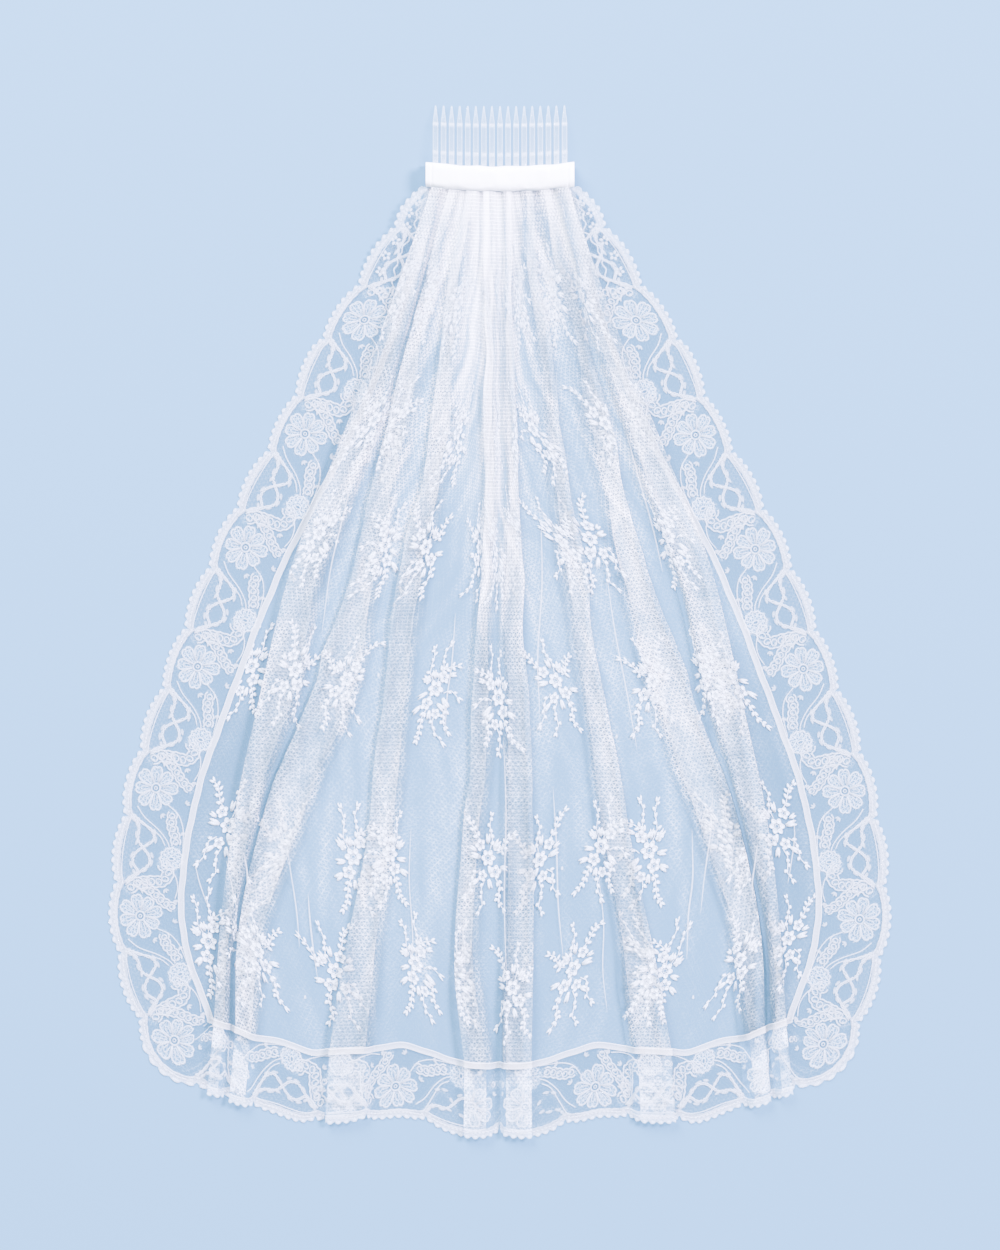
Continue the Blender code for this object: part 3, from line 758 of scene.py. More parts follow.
def petalOutline(radius, spread, heading, inner, count=18, lobes=2):
    t = np.linspace(0, 1, count)
    return aroundMiddle(heading + (t - 0.5) * spread, petalReach(t, radius, inner, lobes))


def lobedReach(angle):
    # distance of the small flower's edge from its middle
    return smallFlower["radius"] * (0.86 + 0.14 * np.abs(np.sin(angle * smallFlower["lobes"] / 2)) ** 0.6)


def aroundMiddle(angle, far, wide=None):
    return np.stack([far * np.cos(angle), (far if wide is None else wide) * np.sin(angle)], axis=-1)


def ovalLine(long, wide, count=15):
    return aroundMiddle(np.linspace(0, 2 * np.pi, count), long / 2, wide / 2)


def moved(shape, x, y, turn=0.0, size=1.0):
    points, faces = shape
    c, s = math.cos(turn) * size, math.sin(turn) * size
    flat = points[:, :2] @ np.array(((c, s), (-s, c))) + (x, y)
    return np.column_stack([flat, points[:, 2] * size]), faces


def smoothPath(points, count):
    # a smooth path through a few given points, evenly stepped
    return curve(np.arange(len(points)), points, np.linspace(0, len(points) - 1, count))


def wavy(path, wave, height):
    # a path with small humps to one side, as corded edges have
    run = np.gradient(path, axis=0)
    across = np.stack([-run[:, 1], run[:, 0]], axis=-1) / (np.linalg.norm(run, axis=1, keepdims=True) + 1e-9)
    return path + across * (np.abs(np.sin(np.pi * runningLength(path) / wave)) * height)[:, None]


# One repeat of the edging: s along from the notch before the big flower, q inwards from the outer line.
bigFlower = {"s": 18.4, "q": 17.8, "turn": 0.2, "inner": 3.3,
             "reach": (13.4, 12.6, 13.6, 12.4, 12.9, 13.5, 12.3, 13)}
smallFlower = {"s": 57.5, "q": 34.3, "radius": 7.3, "lobes": 11}
chainCords = (  # the two cords that cross to make the two eyes of the open scallop
    ((35.6, 8), (39, 13.5), (43, 20.5), (48, 22.3), (53, 16.6), (57.6, 12.6), (62.5, 12.3), (67, 15.6),
     (69.6, 12.8), (73.4, 8.5)),
    ((37, 7.6), (40, 12), (44.6, 13), (49.4, 13.4), (53, 16.6), (57.4, 21), (62.5, 21.6), (67, 17),
     (70.4, 13.8), (74.2, 9.5)),
)
chainLobes = (  # s, q, turn and length
    (41, 11.6, 0.5, 4.6), (46.4, 12, 0.1, 4.6), (50.6, 13, -0.3, 4), (58.2, 11.2, -0.3, 4.6), (63.6, 11.3, 0.3, 4.6),
    (67.6, 13.6, 0.6, 4), (43.5, 22.4, 0.5, 4.2), (48, 23.6, 0.1, 4.6), (52, 18.6, -0.9, 4), (57, 22.8, 0.5, 4.2),
    (61.5, 23, -0.1, 4.6), (66, 19.6, -0.8, 4.2), (38.6, 9.4, 0.9, 3.6), (71.2, 10.6, -0.7, 3.6),
)
# s and distance inwards
headerBlooms = ((9, 4.6), (17, 6.6), (25.5, 9.6), (34.5, 13.2), (44, 15.6), (53.5, 19.6), (63, 21))
vines = (  # middle line and half width of each vine of small rings, and the step between its rings
    {"line": ((60.5, 29), (66, 33.5), (71.5, 30.5), (72.3, 24), (73.8, 16), (77.5, 10.5)), "half": 2.7, "step": 4.3},
    {"line": ((30, 30.5), (37, 31), (43, 34), (49.5, 36)), "half": 2.1, "step": 3.9},
    {"line": ((-1.5, 14.5), (4.5, 25), (10.5, 31.5), (14.5, 38)), "half": 2, "step": 4.1},
)
plainCords = (
    ((0.5, 7), (6, 5.2), (12, 4.3), (18.4, 4.1), (25, 4.3), (31, 5.4), (35.5, 7.6), (40, 16), (45, 25.5), (51, 30)),
    ((30.5, 9.5), (36, 15), (41.5, 24), (47, 30), (51.5, 32.5)),
    ((37.5, 7), (46, 6), (55.3, 5.6), (65, 6), (73, 7.2)),
    ((26.5, 27), (31, 34), (38, 38), (45, 39.5), (52, 40.2)),
    ((64.5, 35.5), (69.5, 38.5), (76, 39.6), (83, 38)),
)
sprigs = ((2.5, 32, 0.6), (9, 38.5, 0.2), (24, 37, 2.4), (40.5, 38.5, 0.3), (70.5, 20.5, 1.2),
          (32.5, 24, 0.9), (3, 18.5, 1))


def alongCentre(vine):
    # middle line of a vine, with its way and its running length
    line = smoothPath(vine["line"], 60)
    run = np.gradient(line, axis=0)
    run /= np.linalg.norm(run, axis=1, keepdims=True)
    return line, run, np.concatenate([[0], np.cumsum(np.linalg.norm(np.diff(line, axis=0), axis=1))])


def farFrom(s, q, line):
    # distance of each place of the chart from a line
    away = np.full(s.shape, 1e9)
    for x, y in line:
        away = np.minimum(away, (s - x) ** 2 + (q - y) ** 2)
    return np.sqrt(away)


def stitchChart(step=0.5):
    # how closely the ground of one repeat is stitched, 1 where it is plain net
    s, q = np.meshgrid(np.arange(0, lace["repeat"] + step, step), np.arange(-2, 44, step), indexing="ij")
    close = 0.4 + 0 * s
    flower = bigFlower
    ds, dq = s - flower["s"], q - flower["q"]
    around, far = np.arctan2(dq, ds), np.hypot(ds, dq)
    count = len(flower["reach"])
    for k, reach in enumerate(flower["reach"]):
        heading = 2 * np.pi * k / count + flower["turn"]
        t = ((around - heading + np.pi) % (2 * np.pi) - np.pi) / (2 * np.pi / count) + 0.5
        inside = (t > 0) & (t < 1)
        t = np.clip(t, 0, 1)
        edge = petalReach(t, reach, flower["inner"])
        body = inside * smoothStep((edge - far) / 0.8 + 0.5) * smoothStep((far - 2.6) / 0.8)
        parted = (1.0 if k % 2 == 0 else 0.0) * np.exp(-((t - 0.5) / 0.16) ** 2) * smoothStep((reach * 0.72 - far) / 1.5)
        close += body * ((8.0 if k % 2 else 6.5) + 2.5 * smoothStep((far - reach * 0.72) / 2.0)) * (1.0 - 0.6 * parted)
    flower = smallFlower
    ds, dq = s - flower["s"], q - flower["q"]
    around, far = np.arctan2(dq, ds), np.hypot(ds, dq)
    edge = lobedReach(around)
    close += 12.5 * smoothStep((edge - far) / 0.8 + 0.5) * smoothStep((far - 1.2) / 0.8)
    for vine in vines:
        for offset in (-lace["repeat"], 0.0, lace["repeat"]):
            line = alongCentre(vine)[0][::2] + (offset, 0.0)
            away = farFrom(s, q, line)
            close += 3.2 * smoothStep((vine["half"] + 0.6 - away) / 0.8) * (0.75 + 0.5 * np.sin(s * 1.9) * np.sin(q * 2.1))
    for cord in chainCords:
        away = farFrom(s, q, smoothPath(cord, 60))
        close += 1.8 * np.exp(-(away / 1.3) ** 2)
    for cord in plainCords:
        close += 1.4 * np.exp(-(farFrom(s, q, smoothPath(cord, 40)) / 1.0) ** 2)
    openScallop = (s > lace["repeat"] / 2) & (q < 13.0)
    close += 0.5 * openScallop + 4.5 * smoothStep((5.0 - q) / 1.5)
    close += 0.3 * np.exp(-((q - 9.0) / 4.0) ** 2)
    return close, step


def laceSheet():
    points, faces, uvs, gathered, raised, first = [], [], [], [], [], 0
    chart, step = stitchChart()
    for side, strip in strips.items():
        s = strip["s"]
        across = np.linspace(0, 1, 41)
        reach = outerEdge(strip, s) - 1.6
        t = 0.3 + np.maximum(reach - 0.3, 1.0)[None, :] * across[:, None]
        along = np.broadcast_to(s, t.shape)
        points.append(onLace(strip, along, t, 0.0).reshape(-1, 3))
        faces.append(gridFaces(*t.shape, flip=side > 0) + first)
        uvs.append(np.stack([along, t], axis=-1).reshape(-1, 2) * mm)
        # looked up in the chart by the place in the repeat and the distance from the outer line
        i = ((along - strip["start"]) % strip["repeat"]) / strip["repeat"] * lace["repeat"] / step
        j = np.clip(valueAt(strip, "wide", s)[None, :] - t + 2.0, 0, 45.4) / step
        close = lookUp(chart, i, j)
        steep = np.minimum(1.0 / np.maximum(np.abs(strip["nz"]), 0.3), 2.5)
        header = 1.0 + 0.5 * (1.0 - smoothStep((s - 10.0) / 60.0))  # drawn up there, and worked closer
        hidden = 1.0 + 3.2 * strip["under"]                         # stands for the cords left out there
        gathered.append((close * (steep * header * hidden)[None, :]).ravel())
        inPleat = np.maximum(strip["under"], smoothStep((strip["layer"] - 1.0) / 1.5))
        raised.append((inPleat[None, :] + 0 * t).ravel())
        first += t.size
    return tuple(np.concatenate(part) for part in (points, faces, uvs, gathered, raised))


points, faces, uvs, gathered, raised = laceSheet()
laceNet = newPiece("lace_ground", points, faces, groundMaterial, slot="lace")
setUv(laceNet, uvs)
setValue(laceNet, "cover", 1.0 - (1.0 - bunching["cover"]) ** gathered)
setValue(laceNet, "stops", 0.5 / np.maximum(gathered, 1.0) ** 0.2 * (1.0 - 0.7 * raised))
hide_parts("lace_edging")


def laceRepeat():
    cords, dense = [], []
    flower = bigFlower
    count = len(flower["reach"])
    place = (flower["s"], flower["q"])
    for k, reach in enumerate(flower["reach"]):
        heading = 2 * math.pi * k / count + flower["turn"]
        outline = petalOutline(reach, 2 * math.pi / count * 0.98, heading, flower["inner"], 19)
        cords.append(moved(ribbon(outline * 0.965, 1.0, 0.05, 0.22), *place))
        if k % 2 == 0:  # an open drop inside the petal, between two lines of stitches
            drop = petalOutline(reach * 0.7, 2 * math.pi / count * 0.42, heading, 4.4, 9, 1)
            cords.append(moved(ribbon(drop, 0.5, 0.08, 0.16), *place))
        else:
            for lean in (-0.12, 0.12):
                vein = np.array(((4.2, 0.0), (reach * 0.78, 0.0)))
                cords.append(moved(ribbon(vein, 0.4, 0.08, 0.14), *place, heading + lean))
    cords.append(moved(ribbon(ovalLine(5.2, 5.2), 1.1, 0.1, 0.25), *place))
    cords.append(moved(ribbon(ovalLine(1.8, 1.8, 8), 0.6, 0.1, 0.25), *place))
    flower = smallFlower
    place = (flower["s"], flower["q"])
    angle = np.linspace(0, 2 * np.pi, flower["lobes"] * 4 + 1)
    rim = aroundMiddle(angle, lobedReach(angle))
    cords.append(moved(ribbon(rim[::2] * 0.95, 1.0, 0.08, 0.2), *place))
    cords.append(moved(ribbon(ovalLine(2.2, 3.6, 11), 0.8, 0.15, 0.25), *place))
    for k in range(flower["lobes"]):
        heading = 2 * math.pi * (k + 0.5) / flower["lobes"]
        ray = np.array(((2.6, 0.0), (flower["radius"] * 0.8, 0.0)))
        cords.append(moved(ribbon(ray, 0.45, 0.12, 0.15), *place, heading))
    for cord in chainCords:  # a twisted pair of threads
        line = smoothPath(cord, 46)
        cords.append(ribbon(wavy(line, 2.4, 0.55), 0.95, 0.05, 0.28))
        cords.append(ribbon(wavy(line, 2.4, -0.55), 0.8, 0.05, 0.2))
    for x, y, turn, long in chainLobes:
        leaf = leafOutline(x - long / 2 * math.cos(turn), y - long / 2 * math.sin(turn), turn, long, 1.9, 7)
        dense.append(pad(leaf, 0.08, 0.25))
    for vine in vines:
        line, run, along = alongCentre(vine)
        side = np.stack([-run[:, 1], run[:, 0]], axis=-1) * vine["half"]
        cords.append(ribbon(wavy(line + side, vine["step"], 0.8)[::2], 1.05, 0.05, 0.22))
        cords.append(ribbon(wavy(line - side, vine["step"], -0.8)[::2], 1.05, 0.05, 0.22))
        for place in np.arange(vine["step"] * 0.6, along[-1] - 1.0, vine["step"]):
            k = int(np.searchsorted(along, place))
            turn = math.atan2(run[k, 1], run[k, 0])
            ring = ribbon(ovalLine(3.2, vine["half"] * 1.5, 9), 0.85, 0.03, 0.2)
            cords.append(moved(ring, *line[k], turn + 0.5))
            dense.append(pad(leafOutline(*(line[k] + side[k] * 0.55), turn - 0.8, 2.6, 1.6, 6), 0.05, 0.2))
    for cord in plainCords:
        cords.append(ribbon(smoothPath(cord, 9 * len(cord) - 8)[::2], 0.7, 0.04, 0.18))
    for x, y, turn in sprigs:
        for lean in (-0.7, 0.0, 0.7):
            dense.append(pad(leafOutline(x, y, turn + lean, 3.0, 1.4, 6), 0.04, 0.18))
    for side in (0.0, lace["repeat"] / 2):  # the band of each scallop is worked closely up to its inner cord
        along = np.linspace(side + 1.0, side + lace["repeat"] / 2 - 1.0, 24)
        cords.append(ribbon(np.stack([along, 0 * along + 3.4], axis=-1), 0.8, 0.04, 0.2))
    return cords, dense


def layRepeats(shapes):
    # every repeat of both halves of the strip, laid through onLace; a shape that would run off is left out
    points, faces, first = [], [], 0
    for side, strip in strips.items():
        size = strip["repeat"] / lace["repeat"]
        for k in range(-1, int(math.ceil(strip["halves"] / 2))):
            for flat, corners in shapes:
                s = strip["start"] + k * strip["repeat"] + flat[:, 0] * size
                if s.min() < 0.5 or s.max() > strip["s"][-1] + 1.5:
                    continue
                s = np.minimum(s, strip["s"][-1])
                edge = flat[:, 1] < 5.5                 # shapes near the edge follow its scallops
                wide = np.where(edge, outerEdge(strip, s) * 0.4 + valueAt(strip, "wide", s) * 0.6, valueAt(strip, "wide", s))
                t = wide - flat[:, 1]
                if t.mean() < 1.5 or t.min() < -1.5 or np.interp(s, strip["s"], strip["under"]).mean() > 0.4:
                    continue
                points.append(onLace(strip, s, t, flat[:, 2] + 0.06))
                faces += [[c + first for c in face] for face in corners]
                first += len(flat)
    return np.concatenate(points), faces


cords, dense = laceRepeat()
laceCords = newPiece("lace_cords", *layRepeats(cords), cordWhite, slot="lace", closed=True)
laceDense = newPiece("lace_ground_stitches", *layRepeats(dense), denseWhite, slot="lace", closed=True)


def scallopBand():
    # outer band: a low arched strip whose outer line is a row of round picots, |sin| of s over the picot pitch.
    # It runs in pieces, left out where the hem lies under its own pleats
    points, faces, first = [], [], 0
    across = np.array((0.0, 0.1, 0.2, 0.5, 0.8, 0.92, 1.0))
    for side, strip in strips.items():
        pitch, deep = strip["repeat"] / 16, 1.7
        every = np.arange(0, strip["s"][-1], 0.6)
        under = np.interp(every, strip["s"], strip["under"]) > 0.5
        for s in np.split(every, np.flatnonzero(np.diff(under)) + 1):
            if len(s) < 4 or np.interp(s.mean(), strip["s"], strip["under"]) > 0.5:
                continue
            edge = outerEdge(strip, s)
            hump = np.abs(np.sin(np.pi * (s - strip["start"]) / pitch)) ** 0.6
            outer = edge - 1.0 + deep * hump
            inner = edge - 4.3 - 0.5 * hump
            tall = np.array((0.0, 0.22, 0.08, 0.06, 0.1, 0.24, 0.0))[:, None] * (0.6 + 0.6 * hump)[None, :]
            t = inner[None, :] + (outer - inner)[None, :] * across[:, None]
            along = np.broadcast_to(s, t.shape)
            top = onLace(strip, along, t, tall + 0.08)
            bottom = onLace(strip, along[[-1, 0]], t[[-1, 0]], np.full((2, len(s)), -0.03))
            ring = np.concatenate([top, bottom]).transpose(1, 0, 2)
            count = ring.shape[1]
            points.append(ring.reshape(-1, 3))
            faces += (gridFaces(len(s), count, closedAcross=True) + first).tolist()
            faces += [[first + k for k in range(count)], [first + (len(s) - 1) * count + k for k in range(count)]]
            first += ring.shape[0] * count
    return np.concatenate(points), faces


def bloomMesh():
    # small five-petalled flowers down the narrow head of each strip, which the repeats leave plain
    shapes = []
    for side, strip in strips.items():
        for n, (s, q) in enumerate(headerBlooms):
            for k in range(5):
                turn = 2 * math.pi * k / 5 + n
                petal = leafOutline(0.7 * math.cos(turn), 0.7 * math.sin(turn), turn, 2.5, 1.9, 7)
                flat, corners = pad(petal, 0.06, 0.22)
                along, out = s + flat[:, 0], outerEdge(strip, np.array([s]))[0] - 3.0 - q * 0.35 + flat[:, 1]
                shapes.append((onLace(strip, along, out, flat[:, 2] + 0.06), corners))
        s = np.linspace(3.0, 66.0, 90)
        path = np.stack([s, outerEdge(strip, s) - 6.2 - 0.22 * s + 0.7 * np.sin(s * 0.9)], axis=-1)
        flat, corners = ribbon(path, 0.9, 0.05, 0.2)
        shapes.append((onLace(strip, flat[:, 0], flat[:, 1], flat[:, 2] + 0.06), corners))
    return joinShapes(shapes)


laceBlooms = newPiece("lace_blooms", *bloomMesh(), cordWhite, slot="lace", closed=True)
laceBand = newPiece("lace_scallops", *scallopBand(), denseWhite, slot="lace", closed=True)


def scallopPicots():
    # a knot of stitches on every picot and a row of small ones inside, each an oval cushion on the band
    shapes = []
    for side, strip in strips.items():
        pitch = strip["repeat"] / 16
        first = math.ceil(-strip["start"] / pitch)
        for k in range(first, int((strip["s"][-1] - strip["start"]) / pitch)):
            for shift, q, long, wide in ((0.5, 0.15, 3.1, 2.3), (0.0, 2.6, 2.2, 1.1), (0.5, 2.6, 2.2, 1.1)):
                s = strip["start"] + (k + shift) * pitch
                if not 0.8 < s < strip["s"][-1] - 0.8 or np.interp(s, strip["s"], strip["under"]) > 0.4:
                    continue
                flat, corners = pad(ovalLine(long, wide, 9)[:-1], 0.12, 0.22)
                edge = outerEdge(strip, np.array([s]))[0]
                shapes.append((onLace(strip, s + flat[:, 0], edge - q - flat[:, 1], flat[:, 2] + 0.06), corners))
    return joinShapes(shapes)


lacePicots = newPiece("lace_picots", *scallopPicots(), cordWhite, slot="lace", closed=True)


# Sprays on the net
# twigs: points of the stem, leaves as (step, length, width, lean), one or two at a place, and the tip's size
sprayPlans = (
    {"twigs": (
        {"stem": ((1, 5), (3.0, 11), (8, 15), (14, 17)), "leaf": (4.0, 3.9, 2.2, 0.85), "pairs": True, "tip": 4.6},
        {"stem": ((-2, 5), (-5.5, 12), (-3.5, 18), (-6, 25)), "leaf": (3.5, 3.1, 2.1, 0.8), "pairs": False, "tip": 3.4},
        {"stem": ((3.5, 10), (4.5, 17), (2.5, 23), (4.0, 29)), "leaf": (3.9, 2.7, 2.4, 0.4), "pairs": False, "tip": 3.8},
        {"stem": ((6, -1), (11, 1.5), (16, -1.5)), "leaf": (4.4, 3.0, 1.8, 0.7), "pairs": False, "tip": 5.0},
        {"stem": ((-3, -12), (-6.5, -18), (-7.5, -25), (-11.5, -30)), "leaf": (3.8, 3.3, 2.1, 0.7), "pairs": True, "tip": 4.2},
        {"stem": ((2.5, -17), (1.5, -24), (5.5, -31)), "leaf": (3.6, 3.2, 2.2, 0.75), "pairs": False, "tip": 4.4},
        {"stem": ((7, -6), (10.5, -12), (8.5, -18), (12, -24)), "leaf": (3.8, 3.2, 2.1, 0.7), "pairs": True, "tip": 4.0}),
     "flowers": ((0.0, 0.5, 9.6, 6), (5.4, 8.8, 7.0, 5), (-3.8, -8.6, 7.6, 5), (3.6, -15.0, 6.0, 5), (-6.6, 6.4, 5.0, 5)),
     "leaves": ((6.0, -4.0, -0.8, 8.4, 4.8), (-4.5, 4.0, 2.4, 7.4, 4.2), (9.0, 10.5, 0.3, 6.2, 3.6),
                (-7.5, -9.0, -2.5, 7.4, 4.2), (3.5, -8.5, -0.5, 7.4, 4.2), (-5.0, -2.0, 3.4, 7.0, 3.8),
                (-1.0, 6.0, 1.7, 6.4, 3.6), (-1.0, -13.0, -1.6, 6.6, 3.8))},
    {"twigs": (
        {"stem": ((1.5, 5), (3.5, 12), (1.5, 18), (3.5, 25)), "leaf": (3.7, 2.8, 2.6, 0.3), "pairs": False, "tip": 3.2},
        {"stem": ((-6, 11), (-9.5, 16), (-11.5, 22), (-15, 25)), "leaf": (3.8, 3.4, 2.1, 0.8), "pairs": True, "tip": 4.2},
        {"stem": ((6, 3), (11, 5), (13.5, 11), (18, 14)), "leaf": (3.8, 3.4, 2.1, 0.85), "pairs": True, "tip": 4.4},
        {"stem": ((-1.5, -13), (-4.5, -20), (-2.5, -27), (-5.5, -32)), "leaf": (3.7, 2.9, 2.3, 0.5), "pairs": False, "tip": 3.6},
        {"stem": ((-6, -7), (-11.5, -11), (-11.5, -18), (-15, -23)), "leaf": (3.9, 3.2, 2.0, 0.7), "pairs": False, "tip": 4.2},
        {"stem": ((5.5, -12), (9.5, -18), (7.5, -25), (11.5, -30)), "leaf": (3.7, 3.2, 2.1, 0.7), "pairs": True, "tip": 4.2}),
     "flowers": ((0.0, 0.0, 9.0, 6), (-5.6, 8.0, 6.8, 5), (5.2, -8.4, 7.4, 5), (-3.8, -10.6, 6.4, 5), (6.4, 6.6, 5.2, 5)),
     "leaves": ((3.5, 5.0, 0.9, 7.8, 4.2), (-5.5, 0.5, 2.9, 8.0, 4.6), (8.0, -5.5, -0.1, 7.0, 4.0),
                (-6.5, -12.5, 3.7, 6.6, 4.0), (0.0, 8.0, 1.5, 7.0, 4.0), (1.0, -12.5, -1.3, 7.0, 3.8),
                (0.5, -4.5, -1.2, 6.0, 3.6), (-8.5, 4.5, 2.6, 5.6, 3.2))},
)


def netSpray(plan):
    shapes = []
    for twig in plan["twigs"]:
        stem = smoothPath(twig["stem"], 17)
        run = np.gradient(stem, axis=0)
        heading = np.arctan2(run[:, 1], run[:, 0])
        along = np.concatenate([[0], np.cumsum(np.linalg.norm(np.diff(stem, axis=0), axis=1))])
        shapes.append(ribbon(stem[::4], 0.6, 0.03, 0.2))
        step, long, wide, lean = twig["leaf"]
        for n, place in enumerate(np.arange(step * 0.6, along[-1] - 1.0, step)):
            k = int(np.searchsorted(along, place))
            size = 1.12 - 0.25 * place / along[-1]
            for side in (1, -1):
                if twig["pairs"] or side == (1 if n % 2 else -1):
                    leaf = leafOutline(*stem[k], heading[k] + side * lean, long * size, wide * size, 6)
                    shapes.append(bud(leaf, 0.05))
        for side in (0.35, -0.35):
            shapes.append(bud(leafOutline(*stem[-1], heading[-1] + side, twig["tip"], 1.6, 6), 0.05))
    for x, y, size, count in plan["flowers"]:
        for k in range(count):  # petals round an open eye
            turn = 2 * math.pi * k / count + x
            wide = 2 * math.pi * size * 0.37 / count
            petal = leafOutline(x + size * 0.17 * math.cos(turn), y + size * 0.17 * math.sin(turn), turn,
                                size * 0.42, wide, 7)
            shapes.append(pad(petal, 0.05, 0.2))
        shapes.append(moved(ribbon(ovalLine(size * 0.28, size * 0.28, 7), 0.5, 0.15, 0.25), x, y))
    for x, y, turn, long, wide in plan["leaves"]:  # larger leaves, parted along their vein
        for side in (0.16, -0.16):
            half = leafOutline(x, y, turn + side, long, wide * 0.52, 7)
            shapes.append(bud(half, 0.04, 0.26))
    return joinShapes(shapes)


# Rows of sprays. across: where sprays are seen on the topmost layer, by x; others fill the cloth between them
sprayStep = 0.088            # share of the cloth from one spray to the next
sprayRows = (
    {"y": 192.0, "seen": (-42.0, 30.0)},
    {"y": 113.0, "seen": (-64.0, -23.0, 17.5, 62.0)},
    {"y": 46.0, "seen": (-105.0, -41.0, 35.0, 96.0)},
    {"y": -39.0, "seen": (-146.0, -120.0, -90.0, -38.0, 0.0, 32.0, 90.0, 120.0, 152.0)},
    {"y": -138.0, "seen": (-160.0, -87.0, -64.0, -6.0, 23.0, 58.0, 88.0, 163.0)},
    {"y": -207.0, "seen": (-169.0, -140.0, -96.0, -50.0, 9.0, 44.0, 97.0, 140.0, 169.0)},
)


def sprayPlaces():
    # shares and heights of all sprays: first those seen, each on the highest layer at its x, then the rest
    dice = np.random.default_rng(7)
    places = []
    for number, row in enumerate(sprayRows):
        v = (cloth["headerY"] - row["y"]) / cloth["length"]
        i = int(np.clip(v, 0, 1) * (tableRows - 1))
        x, z = clothTable[0, i], clothTable[2, i]
        taken = []
        for wanted in row["seen"]:
            near = np.abs(x - wanted) < 1.2
            if near.any():
                j = np.flatnonzero(near)[np.argmax(z[near])]
                taken.append((j / (tableSteps - 1), dice.uniform(-4, 4)))
        for k in np.arange(0.5 + 0.5 * (number % 2), 1 / sprayStep, 1.0):
            share = k * sprayStep
            if all(abs(share - other) > sprayStep * 0.62 for other, _ in taken):
                taken.append((share, dice.uniform(-6, 6)))
        places += [(share, row["y"] + off) for share, off in sorted(taken)]
    return places


def laySprays(plans):
    # each spray turned a little, mirrored in turn, and laid through onNet as whole arrays
    points, faces, first, worked = [], [], 0, []
    dice = np.random.default_rng(11)
    for k, (centre, y) in enumerate(sprayPlaces()):
        flat, corners = plans[(k // 2) % len(plans)]
        turn, size = dice.uniform(-0.12, 0.12), dice.uniform(0.94, 1.04)
        c, s = math.cos(turn) * size, math.sin(turn) * size
        mirror = -1.0 if k % 2 else 1.0
        x = 0.8 * mirror * (flat[:, 0] * c - flat[:, 1] * s)
        up = flat[:, 0] * s + flat[:, 1] * c
        share = centre + x / cloth["cutWidth"]
        v = (cloth["headerY"] - y - up) / cloth["length"]
        placed = onNet(np.clip(share, 0.003, 0.997), np.clip(v, 0.012, 0.992), flat[:, 2] + 0.08)
        points.append(placed)
        # rims and stems are worked closely, crowns openly, and more so low on the veil
        fades = 0.55 + 0.45 * smoothStep(v / 0.4)   # near the header they sink among the gathers
        worked.append(fades * (1.7 - (0.95 + 0.3 * smoothStep(v)) * smoothStep(flat[:, 2] / 0.22)))
        faces += [[n + first for n in face] for face in corners]
        first += len(flat)
    return np.concatenate(points), faces, np.concatenate(worked)


points, faces, worked = laySprays([netSpray(plan) for plan in sprayPlans])
sprays = newPiece("net_sprays", points, faces, sprayWhite, slot="net", closed=True)
setValue(sprays, "stitched", worked)


def topOfNet(x, y):
    # height of the highest layer at each place, from the table's row nearest to it
    i = np.clip(np.round((cloth["headerY"] - y) / cloth["length"] * (tableRows - 1)), 0, tableRows - 1).astype(int)
    near = np.abs(clothTable[0, i] - np.asarray(x)[:, None]) < 0.9
    return np.where(near, clothTable[2, i], -9.0).max(axis=1)


# pinches: short sharp creases, x and y along each from its start to its end, and its width
pinches = (
    ((-112.0, -158.0), (-111.0, -172.0), (-109.5, -186.0), (-106.5, -207.0), 0.9),
    ((-124.0, -132.0), (-121.0, -152.0), (-118.5, -170.0), (-117.0, -189.0), 0.7),
    ((-149.5, -133.0), (-147.5, -143.0), (-147.0, -152.0), (-146.5, -161.0), 0.8),
    ((-160.0, -138.0), (-157.5, -147.0), (-155.5, -157.0), (-155.5, -166.0), 0.6),
    ((-178.0, -140.0), (-176.0, -149.0), (-173.5, -157.0), (-171.0, -164.0), 0.6),
    ((-26.0, 6.0), (-28.0, -22.0), (-31.0, -44.0), (-32.0, -66.0), 0.7),
    ((24.0, 60.0), (24.5, 22.0), (22.0, -20.0), (23.5, -58.0), 0.8),
    ((31.0, -96.0), (33.0, -130.0), (34.0, -164.0), (37.0, -196.0), 0.8),
    ((2.0, -66.0), (3.5, -110.0), (2.5, -160.0), (4.0, -214.0), 0.6),
    ((62.0, 30.0), (67.0, -4.0), (74.0, -40.0), (80.0, -74.0), 0.7),
    ((112.0, -120.0), (112.5, -148.0), (110.0, -170.0), (109.0, -196.0), 0.9),
    ((124.0, -96.0), (123.0, -120.0), (119.5, -146.0), (117.0, -170.0), 0.7),
    ((150.0, -128.0), (148.5, -140.0), (147.0, -152.0), (148.0, -166.0), 0.7),
    ((171.0, -110.0), (172.0, -124.0), (170.0, -140.0), (168.0, -152.0), 0.6),
    ((-84.0, 92.0), (-92.0, 60.0), (-99.0, 30.0), (-104.0, -6.0), 0.7),
    ((74.0, 110.0), (81.0, 84.0), (89.0, 56.0), (95.0, 30.0), 0.7),
    ((-52.0, -120.0), (-53.0, -150.0), (-51.0, -182.0), (-52.0, -214.0), 0.6),
    ((58.0, -150.0), (60.5, -176.0), (60.0, -202.0), (62.5, -226.0), 0.6),
)
seedKnots = ((-113.9, -218.1), (-14.6, -231.5), (112.7, -218.1), (36.2, -142.8), (68.0, -66.0), (-71.0, -30.0))


